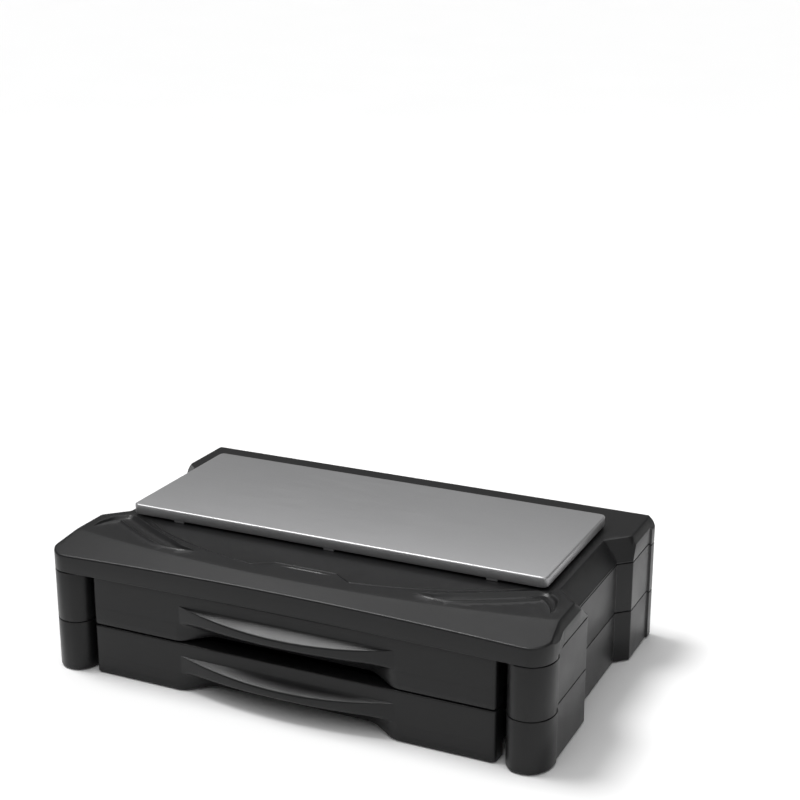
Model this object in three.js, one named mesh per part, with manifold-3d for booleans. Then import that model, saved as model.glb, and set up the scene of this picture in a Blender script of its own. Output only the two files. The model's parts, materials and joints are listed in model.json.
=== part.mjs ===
// Two-level monitor riser stand: a moulded deck with a silver platform plate, on two stacked levels of
// side frames, each level with one sliding drawer.
// Units are millimetres. X runs to the right across the front, Y to the back and Z up. The origin is the
// centre of the footprint, on the surface that the stand rests on.

import * as THREE from "three";
import { mergeVertices } from "three/addons/utils/BufferGeometryUtils.js";
import { ConvexGeometry } from "three/addons/geometries/ConvexGeometry.js";
import Module from "manifold-3d";

// ---- Driving dimensions ----

const WIDTH = 430;
const DEPTH = 271; // from the drawers' handle lips to the back of the rear corners
const LEVEL = 43; // height of one drawer level
const LEVELS = ["lower", "upper"];
const SIDES = [
  ["left", -1],
  ["right", 1],
];

const WALL = 3; // moulded outer walls
const THIN = 2.5; // ribs, trays and webs
const GAP = 0.3; // between pieces that touch
const ROUND_STEPS = 6;
const DRILL_STEPS = 16;

const REAR_Y = DEPTH / 2;
const HALF_WIDTH = WIDTH / 2; // outer face of the four corner columns
const WALL_X = HALF_WIDTH - 1.5; // side walls, set in from the columns
const WAIST_X = HALF_WIDTH - 12; // recessed middle of each side
const BAY_X = 180; // inner faces of the side frames, beside the drawers
const LIP_REACH = 11; // how far the handle lip stands out
const DRAWER_FACE_Y = LIP_REACH - DEPTH / 2;
const COLUMN_Y = DRAWER_FACE_Y - 6.5; // front of the corner columns
const COLUMN_BACK_Y = COLUMN_Y + 27;
const REAR_COLUMN_Y = REAR_Y - 14.5;
const COLUMN_RADIUS = 12;
const REAR_RADIUS = 8;
const WAIST_FRONT_Y = DRAWER_FACE_Y + 86; // where the side wall starts to turn in
const WAIST_BACK_Y = REAR_Y - 58.5;
const WAIST_TURN = WALL_X - WAIST_X; // 45 degree turns into the waist
const MITRE = Math.tan(Math.PI / 8);
const SHOULDER = 4; // the side walls stand this much above the columns

const BASE_Z = 1; // bottom edge of the lower frames, on their feet
const DECK_Z = 108.5;
const DECK_EDGE_X = 209.5;
const DECK_WAIST_X = 191.5;
const DECK_WAIST_FRONT_Y = WAIST_FRONT_Y - 1.3;
const DECK_WAIST_BACK_Y = WAIST_BACK_Y - 13.5;
const APRON_FRONT_Z = 102.3; // top edge of the fascia
const APRON_BACK_Y = DRAWER_FACE_Y + 32; // crease between the sloping apron and the deck
const FASCIA_Y = DRAWER_FACE_Y - 3.5; // middle of the bowed fascia
const FASCIA_END_X = 190;

const PLATE_HALF = 184;
const PLATE_FRONT_Y = DRAWER_FACE_Y + 75.7;
const PLATE_BACK_Y = PLATE_FRONT_Y + 143.5;
const PLATE_TOP_Z = 119;
const PLATE_Z = 110;
const PLATE_TAB_X = [-139.5, 0, 139.5];

const SCREW_SPOTS = [
  ["front_left", -150, PLATE_FRONT_Y + 22],
  ["front_right", 150, PLATE_FRONT_Y + 22],
  ["rear_left", -150, PLATE_BACK_Y - 22],
  ["rear_right", 150, PLATE_BACK_Y - 22],
];
const PIN_SPOTS = [
  ["front", 197.5, COLUMN_Y + 16.5],
  ["rear", 197.5, REAR_Y - 30],
];
const PIN_RADIUS = 5;
const PIN_LENGTH = 16;
const FOOT_RADIUS = 10;
const FOOT_HEIGHT = 4;

const DRAWER_HALF = 173.5;
const DRAWER_RADIUS = 8;
const DRAWER_BACK_Y = DRAWER_FACE_Y + 15; // back of the drawer front
const DRAWER_GAP = 0.7; // above and below each drawer front
const LIP_HALF = 93;
const LIP_TOP = 31.3; // above the level's base, where the lip meets the face
const LIP_FALL = 6.3; // from the face to the middle of the lip's edge
const LIP_BOTTOM = 16;
const RECESS_HALF = 97;
const RECESS_INNER_HALF = 66;
const RECESS_DEPTH = 12;
const RECESS_BOTTOM = 4.5; // the front's lower edge is this high in the recess
const TRAY_HALF = 169.5;
const TRAY_BACK_Y = REAR_Y - 24;
const FLANGE_FRONT_Y = DRAWER_BACK_Y + 8.5;
const TRAY_BOTTOM = 4;
const TRAY_TOP = 38;
const FLANGE_BOTTOM = 31;
const FLANGE_REACH = 177;
const RAIL_X = 172.5;
const TRAVEL = 180; // how far a drawer pulls out, up to its stop blocks
const FRONT_SCREW_X = 80;
const FRONT_SCREW_Z = 33;

// ---- Materials ----

const plastic = (color, roughness) => new THREE.MeshStandardMaterial({ color, roughness, metalness: 0 });
const BLACK = plastic(0x2b2b2d, 0.5);
const INNER_BLACK = plastic(0x232325, 0.6);
const RUBBER = plastic(0x151515, 0.9);
const SILVER = new THREE.MeshStandardMaterial({ color: 0xa9aaad, roughness: 0.35, metalness: 0.8 });
const STEEL = new THREE.MeshStandardMaterial({ color: 0xb8b8bb, roughness: 0.3, metalness: 1 });

// ---- Solids ----

const wasm = await Module();
wasm.setup();

// A closed three.js geometry as a solid that can be joined and cut.
function solid(geometry) {
  geometry.deleteAttribute("normal");
  geometry.deleteAttribute("uv");
  const merged = mergeVertices(geometry, 1e-4);
  return new wasm.Manifold(
    new wasm.Mesh({
      numProp: 3,
      vertProperties: merged.attributes.position.array,
      triVerts: new Uint32Array(merged.index.array),
    }),
  );
}

function box(x0, x1, y0, y1, z0, z1) {
  const geometry = new THREE.BoxGeometry(Math.abs(x1 - x0), y1 - y0, z1 - z0);
  return solid(geometry.translate((x0 + x1) / 2, (y0 + y1) / 2, (z0 + z1) / 2));
}

function upright(radius, x, y, z0, z1) {
  const geometry = new THREE.CylinderGeometry(radius, radius, z1 - z0, DRILL_STEPS);
  return solid(geometry.rotateX(Math.PI / 2).translate(x, y, (z0 + z1) / 2));
}

function alongY(radius, x, z, y0, y1) {
  const geometry = new THREE.CylinderGeometry(radius, radius, y1 - y0, DRILL_STEPS);
  return solid(geometry.translate(x, (y0 + y1) / 2, z));
}

// A closed outline through corners [x, y, radius]; a corner with no radius stays sharp.
function outline(corners) {
  const shape = new THREE.Shape();
  corners.forEach(([x, y, radius = 0], i) => {
    const corner = new THREE.Vector2(x, y);
    const [before, after] = [-1, 1].map((step) => {
      const [nx, ny] = corners[(i + step + corners.length) % corners.length];
      return new THREE.Vector2(nx, ny).sub(corner).setLength(radius).add(corner);
    });
    if (i === 0) shape.moveTo(before.x, before.y);
    else shape.lineTo(before.x, before.y);
    if (radius > 0) shape.quadraticCurveTo(x, y, after.x, after.y);
  });
  return shape;
}

function prism(shape, z0, z1) {
  const settings = { depth: z1 - z0, bevelEnabled: false, curveSegments: ROUND_STEPS };
  return solid(new THREE.ExtrudeGeometry(shape, settings).translate(0, 0, z0));
}

// A section drawn in Y and Z, extruded across X.
function acrossX(shape, x0, x1) {
  const settings = { depth: x1 - x0, bevelEnabled: false, curveSegments: ROUND_STEPS };
  const turn = new THREE.Matrix4().makeBasis(
    new THREE.Vector3(0, 1, 0),
    new THREE.Vector3(0, 0, 1),
    new THREE.Vector3(1, 0, 0),
  );
  return solid(new THREE.ExtrudeGeometry(shape, settings).applyMatrix4(turn).translate(x0, 0, 0));
}

const join = (first, ...rest) => rest.reduce((sum, part) => sum.add(part), first);
const cut = (first, ...rest) => rest.reduce((left, part) => left.subtract(part), first);

const stand = new THREE.Group();

function addPiece(name, material, shape) {
  const mesh = shape.getMesh();
  const geometry = new THREE.BufferGeometry();
  geometry.setAttribute("position", new THREE.BufferAttribute(mesh.vertProperties, 3));
  geometry.setIndex(new THREE.BufferAttribute(mesh.triVerts, 1));
  geometry.computeVertexNormals();
  const piece = new THREE.Mesh(geometry, material);
  piece.name = name;
  stand.add(piece);
}

// ---- Outlines shared by the frames and the deck ----

// The outer side of a frame or deck from its front column to its rear corner, moved in by inset.
function sideCorners(side, inset) {
  const turn = MITRE * inset;
  return [
    [HALF_WIDTH - inset, COLUMN_Y + inset, COLUMN_RADIUS - inset],
    [HALF_WIDTH - inset, COLUMN_BACK_Y - 1.5],
    [WALL_X - inset, COLUMN_BACK_Y],
    [WALL_X - inset, WAIST_FRONT_Y - turn],
    [WAIST_X - inset, WAIST_FRONT_Y + WAIST_TURN - turn],
    [WAIST_X - inset, WAIST_BACK_Y - WAIST_TURN + turn],
    [WALL_X - inset, WAIST_BACK_Y + turn],
    [WALL_X - inset, REAR_COLUMN_Y],
    [HALF_WIDTH - inset, REAR_COLUMN_Y + 1.5],
    [HALF_WIDTH - inset, REAR_Y - inset, REAR_RADIUS - inset],
  ].map(([x, y, radius]) => [side * x, y, radius]);
}

function frameOutline(side, inset) {
  return outline([
    [side * (BAY_X + inset), COLUMN_Y + inset, COLUMN_RADIUS - inset],
    ...sideCorners(side, inset),
    [side * (BAY_X + inset), REAR_Y - inset],
  ]);
}

// The deck's outline: both sides, with a fascia that bows in between the columns.
function deckOutline(inset) {
  const right = sideCorners(1, inset);
  const left = sideCorners(-1, inset).reverse();
  const shape = outline([
    [FASCIA_END_X, COLUMN_Y + inset],
    ...right,
    ...left,
    [-FASCIA_END_X, COLUMN_Y + inset],
  ]);
  const bow = 2 * FASCIA_Y - COLUMN_Y + inset;
  shape.quadraticCurveTo(0, bow, FASCIA_END_X, COLUMN_Y + inset);
  return shape;
}

// ---- Side frames: two on each level ----

// Height of the joint between a level and whatever stands on it.
function jointZ(level, y) {
  const onShoulder = y > COLUMN_BACK_Y && y < REAR_COLUMN_Y;
  return level * LEVEL + (onShoulder ? SHOULDER : 0);
}

function sideFrame(side, level) {
  const floor = level * LEVEL;
  const bottom = level === 0 ? BASE_Z : floor + GAP;
  const top = floor + LEVEL;
  const far = side * (HALF_WIDTH + 5);
  const near = side * (BAY_X - 5);
  const shoulderSpan = [COLUMN_BACK_Y, REAR_COLUMN_Y];
  const webTop = top - THIN;

  let frame = cut(
    prism(frameOutline(side, 0), bottom, top + SHOULDER),
    box(near, far, COLUMN_Y - 5, COLUMN_BACK_Y, top, top + 10),
    box(near, far, REAR_COLUMN_Y, REAR_Y + 5, top, top + 10),
  );
  if (level > 0) frame = frame.subtract(box(near, far, ...shoulderSpan, floor - 5, floor + SHOULDER + GAP));

  const hollow = join(
    prism(frameOutline(side, WALL), bottom - 5, webTop),
    prism(frameOutline(side, WALL), webTop - 1, webTop + SHOULDER).intersect(
      box(near, far, COLUMN_BACK_Y + THIN, REAR_COLUMN_Y - THIN, webTop - 2, top + 10),
    ),
  );
  frame = frame.subtract(hollow);

  // A rib and a boss hold each stacking pin, and on the lower level each foot.
  const inner = frameOutline(side, 1);
  for (const [, x, y] of PIN_SPOTS) {
    const pinX = side * x;
    const low = level === 0 ? BASE_Z + FOOT_HEIGHT : jointZ(level, y) + GAP;
    const high = jointZ(level + 1, y);
    const hold = PIN_LENGTH / 2 + GAP;
    const boss = level === 0 ? FOOT_RADIUS - 2 : PIN_RADIUS + 3;
    frame = join(
      frame,
      box(near, far, y - THIN / 2, y + THIN / 2, low, high - 1).intersect(prism(inner, 0, DECK_Z)),
      upright(PIN_RADIUS + 3, pinX, y, high - hold - 3, high),
      upright(boss, pinX, y, low, low + 11),
    );
    frame = frame.subtract(upright(PIN_RADIUS + GAP, pinX, y, high - hold, high + 5));
    if (level > 0) frame = frame.subtract(upright(PIN_RADIUS + GAP, pinX, y, low - 5, low - GAP + hold));
  }

  // The rail that carries the drawer's flange, and the block that stops the drawer.
  const railTop = floor + FLANGE_BOTTOM - GAP;
  const stopY = TRAY_BACK_Y - 8 - TRAVEL;
  frame = join(
    frame,
    box(side * RAIL_X, side * (BAY_X + 1), FLANGE_FRONT_Y, TRAY_BACK_Y, railTop - 3, railTop),
    box(side * (RAIL_X + 1.5), side * (BAY_X + 1), stopY - 8, stopY - GAP, floor + 34.3, floor + 40),
  );
  // The slot that takes the end of the rear wall.
  return frame.subtract(
    box(side * (BAY_X - 1), side * (BAY_X + WALL + 4), REAR_Y - 8.3, REAR_Y - 4.7, bottom - 1, top + 5),
  );
}

LEVELS.forEach((levelName, level) => {
  for (const [sideName, side] of SIDES) {
    addPiece(`${levelName}_${sideName}_side_frame`, BLACK, sideFrame(side, level));
  }
});

// ---- Rear walls: one on each level, slotted into the side frames ----

LEVELS.forEach((levelName, level) => {
  const floor = level * LEVEL;
  const reach = BAY_X + WALL + 3;
  const wall = box(-reach, reach, REAR_Y - 8, REAR_Y - 5, floor + BASE_Z + GAP, floor + LEVEL - GAP);
  const rib = box(-BAY_X + 2, BAY_X - 2, REAR_Y - 12, REAR_Y - 7.5, floor + 20, floor + 20 + THIN);
  addPiece(`${levelName}_rear_wall`, BLACK, wall.add(rib));
});

// ---- Stacking pins and feet ----

for (const [endName, x, y] of PIN_SPOTS) {
  for (const [sideName, side] of SIDES) {
    LEVELS.forEach((levelName, level) => {
      const seam = jointZ(level + 1, y);
      const pin = upright(PIN_RADIUS, side * x, y, seam - PIN_LENGTH / 2, seam + PIN_LENGTH / 2);
      addPiece(`${levelName}_stack_pin_${endName}_${sideName}`, INNER_BLACK, pin);
    });
    const foot = upright(FOOT_RADIUS, side * x, y, 0, FOOT_HEIGHT + BASE_Z - GAP);
    addPiece(`foot_${endName}_${sideName}`, RUBBER, foot);
  }
}

// ---- Deck: the top cover ----

// What is cut away above the waist on one side, leaving three sloping facets. It is moved by shift
// towards the middle.
function waistCutter(side, shift) {
  const low = DECK_Z - 18.5;
  const high = DECK_Z + 4;
  const grow = (high - low) / (DECK_Z - low);
  const lower = [
    [WALL_X, WAIST_FRONT_Y],
    [WAIST_X, WAIST_FRONT_Y + WAIST_TURN],
    [WAIST_X, WAIST_BACK_Y - WAIST_TURN],
    [WALL_X, WAIST_BACK_Y],
  ];
  const upper = [
    [DECK_EDGE_X, DECK_WAIST_FRONT_Y - 19],
    [DECK_WAIST_X, DECK_WAIST_FRONT_Y],
    [DECK_WAIST_X, DECK_WAIST_BACK_Y],
    [DECK_EDGE_X, DECK_WAIST_BACK_Y + 19],
  ];
  const points = lower.flatMap(([x, y], i) => {
    const out = i === 0 || i === 3 ? 40 : 0;
    const slope = i === 0 ? -out : out;
    const [ux, uy] = upper[i];
    const topX = x + (ux - x) * grow;
    const topY = y + (uy - y) * grow;
    return [
      new THREE.Vector3(side * (x + out - shift), y + slope, low),
      new THREE.Vector3(side * (topX + out - shift), topY + slope, high),
    ];
  });
  return solid(new ConvexGeometry(points));
}

// What is cut away above the apron, in front of its crease.
function apronCutter(drop) {
  const rise = (DECK_Z - APRON_FRONT_Z) / (APRON_BACK_Y - FASCIA_Y);
  const front = COLUMN_Y - 10;
  const back = APRON_BACK_Y + 10;
  const lineZ = (y) => APRON_FRONT_Z + (y - FASCIA_Y) * rise - drop;
  const section = outline([
    [front, lineZ(front)],
    [back, lineZ(back)],
    [back, DECK_Z + 20],
    [front, DECK_Z + 20],
  ]);
  return acrossX(section, -HALF_WIDTH - 5, HALF_WIDTH + 5);
}

// What is cut away along the deck's long side edges, moved by shift towards the middle.
function edgeCutter(side, shift) {
  const drop = 7;
  const points = [-1, 1].flatMap((end) =>
    [
      [DECK_EDGE_X, DECK_Z],
      [WALL_X + 2, DECK_Z - drop * 1.4],
      [WALL_X + 20, DECK_Z - drop * 1.4],
      [DECK_EDGE_X, DECK_Z + 20],
      [WALL_X + 20, DECK_Z + 20],
    ].map(([x, z]) => new THREE.Vector3(side * (x - shift), end * DEPTH, z)),
  );
  return solid(new ConvexGeometry(points));
}

function topCover() {
  const seam = LEVELS.length * LEVEL + GAP;
  const ceiling = DECK_Z - WALL;
  const outside = HALF_WIDTH + 5;
  let shell = cut(
    prism(deckOutline(0), seam, DECK_Z),
    apronCutter(0),
    ...SIDES.flatMap(([, side]) => [waistCutter(side, 0), edgeCutter(side, 0)]),
  );
  const hollow = cut(
    prism(deckOutline(WALL), seam - 5, ceiling),
    apronCutter(WALL * 1.1),
    ...SIDES.flatMap(([, side]) => [waistCutter(side, WALL * 1.3), edgeCutter(side, WALL)]),
  );
  shell = shell.subtract(hollow);

  // Inner walls close the column caps, and ribs stiffen the deck under the plate.
  const inside = cut(
    prism(deckOutline(1), seam, ceiling + 1),
    apronCutter(1.5),
    ...SIDES.flatMap(([, side]) => [waistCutter(side, 1.5), edgeCutter(side, 1.5)]),
  );
  const stiffeners = [];
  for (const [, side] of SIDES) {
    stiffeners.push(box(side * BAY_X, side * (BAY_X + THIN), COLUMN_Y, COLUMN_BACK_Y, seam, ceiling + 1));
    stiffeners.push(box(side * BAY_X, side * (BAY_X + THIN), WAIST_BACK_Y, REAR_Y - 1, seam, ceiling + 1));
    for (const [, x, y] of PIN_SPOTS) {
      stiffeners.push(upright(PIN_RADIUS + 3, side * x, y, seam, ceiling + 1));
      stiffeners.push(
        box(side * BAY_X, side * outside, y - THIN / 2, y + THIN / 2, seam + SHOULDER, ceiling + 1),
      );
    }
  }
  for (const x of [-125, -75, -25, 25, 75, 125]) {
    stiffeners.push(box(x - THIN / 2, x + THIN / 2, COLUMN_Y, REAR_Y - 1, ceiling - 8, ceiling + 1));
  }
  for (const y of [-66, -26, 23, 73]) {
    stiffeners.push(box(-outside, outside, y - THIN / 2, y + THIN / 2, ceiling - 8, ceiling + 1));
  }
  for (const [, x, y] of SCREW_SPOTS) stiffeners.push(upright(10, x, y, 99, ceiling + 1));
  for (const part of stiffeners) shell = shell.add(part.intersect(inside));

  // Lower edge beside the frames' shoulders, then the pin holes and the plate's screw seats.
  for (const [, side] of SIDES) {
    shell = shell.subtract(
      box(side * (BAY_X - 0.5), side * outside, COLUMN_BACK_Y, REAR_COLUMN_Y, seam - 5, seam + SHOULDER),
    );
    for (const [, x, y] of PIN_SPOTS) {
      const hold = jointZ(LEVELS.length, y) + PIN_LENGTH / 2 + GAP;
      shell = shell.subtract(upright(PIN_RADIUS + GAP, side * x, y, seam - 5, hold));
    }
  }
  for (const [, x, y] of SCREW_SPOTS) {
    shell = cut(
      shell,
      upright(8.3, x, y, DECK_Z - 2, DECK_Z + 5),
      upright(2.3, x, y, 90, DECK_Z),
      upright(4.5, x, y, 90, 102.5),
    );
  }
  return shell;
}

addPiece("top_cover", BLACK, topCover());

// ---- Platform plate, its pads and screws ----

function plateOutline(inset) {
  const radius = 5 - inset;
  return outline([
    [-PLATE_HALF + inset, PLATE_FRONT_Y + inset, radius],
    [PLATE_HALF - inset, PLATE_FRONT_Y + inset, radius],
    [PLATE_HALF - inset, PLATE_BACK_Y - inset, radius],
    [-PLATE_HALF + inset, PLATE_BACK_Y - inset, radius],
  ]);
}

function platformPlate() {
  const tray = prism(plateOutline(0), PLATE_Z, PLATE_TOP_Z);
  let plate = tray.subtract(prism(plateOutline(THIN), PLATE_Z - 1, PLATE_TOP_Z - THIN));
  for (const x of PLATE_TAB_X) {
    for (const y of [PLATE_FRONT_Y + 1.5, PLATE_BACK_Y - 1.5]) {
      plate = plate.add(box(x - 5, x + 5, y - 1, y + 1, DECK_Z + GAP, PLATE_Z + 1));
    }
  }
  for (const x of [-60, 60]) {
    plate = plate.add(box(x - 1, x + 1, PLATE_FRONT_Y + 1, PLATE_BACK_Y - 1, PLATE_Z + 1, PLATE_TOP_Z - 1));
  }
  for (const [, x, y] of SCREW_SPOTS) {
    plate = plate.add(upright(7, x, y, PLATE_Z, PLATE_TOP_Z - 1));
    plate = plate.subtract(upright(2, x, y, PLATE_Z - 1, PLATE_TOP_Z - THIN - 1));
  }
  return plate;
}

addPiece("platform_plate", SILVER, platformPlate());

for (const [spot, x, y] of SCREW_SPOTS) {
  const disc = upright(8, x, y, DECK_Z - 2 + GAP, PLATE_Z - GAP);
  const ring = disc.subtract(upright(2.3, x, y, 90, PLATE_TOP_Z));
  addPiece(`platform_pad_${spot}`, RUBBER, ring);
  const screw = upright(4, x, y, 99.8, 102.2).add(upright(1.7, x, y, 102, PLATE_TOP_Z - THIN - 1.5));
  addPiece(`platform_screw_${spot}`, STEEL, screw.subtract(box(x - 3, x + 3, y - 0.5, y + 0.5, 99, 100.8)));
}

// ---- Drawers ----

// The space under the handle lip, which runs back into a recess at the foot of the drawer front.
function gripSpace(floor, back) {
  const under = floor + LIP_BOTTOM;
  const recessY = DRAWER_FACE_Y + RECESS_DEPTH + back;
  const frontY = DRAWER_FACE_Y - LIP_REACH - 10;
  const section = new THREE.Shape();
  section.moveTo(frontY, floor - 5);
  section.lineTo(recessY, floor - 5);
  section.lineTo(recessY, floor + RECESS_BOTTOM);
  section.quadraticCurveTo(recessY, under, DRAWER_FACE_Y - LIP_REACH + back, under);
  section.lineTo(frontY, under);
  const plan = outline([
    [-RECESS_HALF - 4, frontY - 5],
    [RECESS_HALF + 4, frontY - 5],
    [RECESS_HALF, DRAWER_FACE_Y + back],
    [RECESS_INNER_HALF, recessY + 1],
    [-RECESS_INNER_HALF, recessY + 1],
    [-RECESS_HALF, DRAWER_FACE_Y + back],
  ]);
  const across = acrossX(section, -RECESS_HALF - 10, RECESS_HALF + 10);
  return across.intersect(prism(plan, floor - 6, floor + LEVEL));
}

// The lip's plan: a parabola between its two tips.
function lipOutline(inset) {
  const shape = new THREE.Shape();
  const end = LIP_HALF - 4 * inset;
  const root = DRAWER_FACE_Y + inset;
  shape.moveTo(-end, root);
  shape.quadraticCurveTo(0, root - 2 * (LIP_REACH - inset / 2), end, root);
  return shape;
}

// What is cut away above the lip's sloping top.
function lipSlope(floor, drop) {
  const high = floor + LIP_TOP - drop;
  const fall = LIP_FALL / LIP_REACH;
  const [front, back] = [DRAWER_FACE_Y - 2 * LIP_REACH, DRAWER_FACE_Y + WALL];
  const section = outline([
    [front, high - 2 * LIP_FALL],
    [back, high + WALL * fall],
    [back, floor + LEVEL],
    [front, floor + LEVEL],
  ]);
  return acrossX(section, -LIP_HALF - 5, LIP_HALF + 5);
}

function drawerFront(level) {
  const floor = level * LEVEL;
  const bottom = floor + (level === 0 ? BASE_Z : DRAWER_GAP);
  const top = floor + LEVEL - DRAWER_GAP;
  const plan = outline([
    [-DRAWER_HALF, DRAWER_FACE_Y, DRAWER_RADIUS],
    [DRAWER_HALF, DRAWER_FACE_Y, DRAWER_RADIUS],
    [DRAWER_HALF, DRAWER_BACK_Y],
    [-DRAWER_HALF, DRAWER_BACK_Y],
  ]);
  const inside = DRAWER_HALF - WALL;
  const shell = prism(plan, bottom, top).subtract(
    box(-inside, inside, DRAWER_FACE_Y + WALL, DRAWER_BACK_Y + 1, bottom + WALL, top - WALL),
  );
  const reach = RECESS_HALF + 3;
  const block = box(-reach, reach, DRAWER_FACE_Y + 1, DRAWER_BACK_Y, bottom, floor + LIP_BOTTOM + WALL);
  const lip = prism(lipOutline(0), floor + LIP_BOTTOM - 3, floor + LIP_TOP).subtract(lipSlope(floor, 0));
  const rootHalf = LIP_HALF - 2;
  const rootTop = floor + LIP_BOTTOM + 2;
  const root = box(-rootHalf, rootHalf, DRAWER_FACE_Y - 0.2, DRAWER_FACE_Y + WALL, bottom, rootTop);
  const pocketHalf = LIP_HALF - 20;
  const pocketLow = floor + LIP_BOTTOM + WALL;
  const pocketHigh = floor + LIP_TOP - WALL - 1;
  const pocket = join(
    prism(lipOutline(WALL), pocketLow, floor + LIP_TOP).subtract(lipSlope(floor, WALL)),
    box(-pocketHalf, pocketHalf, DRAWER_FACE_Y - 1, DRAWER_BACK_Y + 1, pocketLow, pocketHigh),
  );
  let front = cut(join(shell, block, lip, root), pocket, gripSpace(floor, 0));
  for (const [, side] of SIDES) {
    const x = side * FRONT_SCREW_X;
    const z = floor + FRONT_SCREW_Z;
    front = front.add(alongY(5, x, z, DRAWER_FACE_Y + 1, DRAWER_BACK_Y));
    front = front.subtract(alongY(2, x, z, DRAWER_FACE_Y + WALL + 1, DRAWER_BACK_Y + 1));
  }
  return front;
}

function drawerTray(level) {
  const floor = level * LEVEL;
  const low = floor + TRAY_BOTTOM;
  const high = floor + TRAY_TOP;
  const front = DRAWER_BACK_Y + GAP;
  const inside = TRAY_HALF - THIN;
  const flangeTop = floor + FLANGE_BOTTOM + THIN;
  let tray = box(-TRAY_HALF, TRAY_HALF, front, TRAY_BACK_Y, low, high).subtract(
    box(-inside, inside, front + THIN, TRAY_BACK_Y - THIN, low + THIN, high + 5),
  );
  for (const [, side] of SIDES) {
    const near = side * (TRAY_HALF - 1);
    const far = side * FLANGE_REACH;
    tray = join(
      tray,
      box(near, far, FLANGE_FRONT_Y, TRAY_BACK_Y, floor + FLANGE_BOTTOM, flangeTop),
      box(near, far, TRAY_BACK_Y - 8, TRAY_BACK_Y, floor + 33, floor + 36.5),
    );
    const z = floor + FRONT_SCREW_Z;
    tray = tray.subtract(alongY(2.3, side * FRONT_SCREW_X, z, front - 1, front + THIN + 1));
  }
  return tray;
}

function frontScrew(side, level) {
  const x = side * FRONT_SCREW_X;
  const z = level * LEVEL + FRONT_SCREW_Z;
  const seat = DRAWER_BACK_Y + GAP + THIN + GAP;
  const screw = alongY(4, x, z, seat, seat + 2.4).add(alongY(1.7, x, z, seat - 12, seat + 1));
  return screw.subtract(box(x - 3, x + 3, seat + 1.4, seat + 5, z - 0.5, z + 0.5));
}

LEVELS.forEach((levelName, level) => {
  addPiece(`${levelName}_drawer_front`, BLACK, drawerFront(level));
  addPiece(`${levelName}_drawer_tray`, INNER_BLACK, drawerTray(level));
  for (const [sideName, side] of SIDES) {
    addPiece(`${levelName}_drawer_screw_${sideName}`, STEEL, frontScrew(side, level));
  }
});

export default stand;
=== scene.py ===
"""A monitor riser stand: a moulded deck with a silver platform, on two stacked levels.

Each level holds a sliding drawer with a curved handle lip.
"""

import json
import math

import bmesh
import bpy
from bpy.props import FloatProperty, FloatVectorProperty, IntProperty, PointerProperty
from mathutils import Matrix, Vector
from mathutils.geometry import delaunay_2d_cdt


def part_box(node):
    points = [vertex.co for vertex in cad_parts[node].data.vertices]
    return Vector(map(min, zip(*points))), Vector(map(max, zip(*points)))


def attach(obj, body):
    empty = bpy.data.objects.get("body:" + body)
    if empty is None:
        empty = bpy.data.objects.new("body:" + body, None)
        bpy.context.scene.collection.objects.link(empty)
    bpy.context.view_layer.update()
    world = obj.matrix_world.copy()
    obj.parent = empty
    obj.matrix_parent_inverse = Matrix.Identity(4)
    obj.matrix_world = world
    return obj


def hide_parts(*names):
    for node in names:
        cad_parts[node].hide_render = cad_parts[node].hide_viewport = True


bl_info = {
    "name": "Monitor Riser Stand",
    "version": (1, 0, 0),
    "blender": (4, 5, 0),
    "location": "View3D > Sidebar > Riser Stand",
    "description": "Builds a monitor riser stand with a silver platform and two drawers",
    "category": "Object",
}

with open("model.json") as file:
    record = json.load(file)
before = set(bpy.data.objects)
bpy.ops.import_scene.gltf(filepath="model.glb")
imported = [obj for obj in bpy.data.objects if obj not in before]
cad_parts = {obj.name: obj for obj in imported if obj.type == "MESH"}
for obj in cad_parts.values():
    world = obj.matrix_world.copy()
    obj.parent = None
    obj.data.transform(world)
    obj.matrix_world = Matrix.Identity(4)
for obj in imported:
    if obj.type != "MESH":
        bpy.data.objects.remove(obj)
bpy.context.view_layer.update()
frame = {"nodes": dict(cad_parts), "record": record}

MM = 0.001
STAND = "stand"
LEVELS = ("lower", "upper")
SIDES = (("left", -1), ("right", 1))


def span(node):
    """The lowest and highest corner of a node, in millimetres."""
    low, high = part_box(node)
    return low / MM, high / MM


COVER_LOW, COVER_HIGH = span("top_cover")
PLATE_LOW, PLATE_HIGH = span("platform_plate")
UPPER_FRONT_HIGH = span("upper_drawer_front")[1]
LOWER_FRONT_HIGH = span("lower_drawer_front")[1]
BASE_Z = span("lower_right_side_frame")[0].z

LEVEL = round(UPPER_FRONT_HIGH.z - LOWER_FRONT_HIGH.z, 3)
HALF_WIDTH = COVER_HIGH.x
COLUMN_Y = COVER_LOW.y
REAR_Y = COVER_HIGH.y
DECK_Z = COVER_HIGH.z
CAP_SEAM = 2 * LEVEL
FACE_Y = COLUMN_Y + 6.5
BAY_X = HALF_WIDTH - 35
TRAY_BACK_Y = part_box("lower_drawer_tray")[1].y / MM

# The sides: the columns stand a little proud of the walls, and the middle of each wall is set in.
WALL_X = HALF_WIDTH - 1.5
WAIST_X = HALF_WIDTH - 12
COLUMN_BACK_Y = COLUMN_Y + 25.5
REAR_COLUMN_Y = REAR_Y - 13
WAIST_FRONT_Y = FACE_Y + 86
WAIST_BACK_Y = REAR_Y - 58.5
DECK_EDGE_X = 209.5
DECK_WAIST_X = 191.5
FRONT_TURN = DECK_WAIST_X + FACE_Y + 84.2  # x + y along the deck's front turn into the waist
REAR_TURN = DECK_WAIST_X - REAR_Y + 71.5  # x - y along its rear turn
SEAM_GAP = 0.45
NOTCH = 3.0
WALL = 3.0  # moulded walls of the cover and the side frames
FASCIA_REACH = 3.5  # how far the middle of the fascia stands in front of the drawers
FASCIA_END_X = 190.0


# ---- Settings in the sidebar ----


def length(name, description, millimetres):
    return FloatProperty(
        name=name, description=description, default=millimetres * MM, unit="LENGTH"
    )


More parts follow.
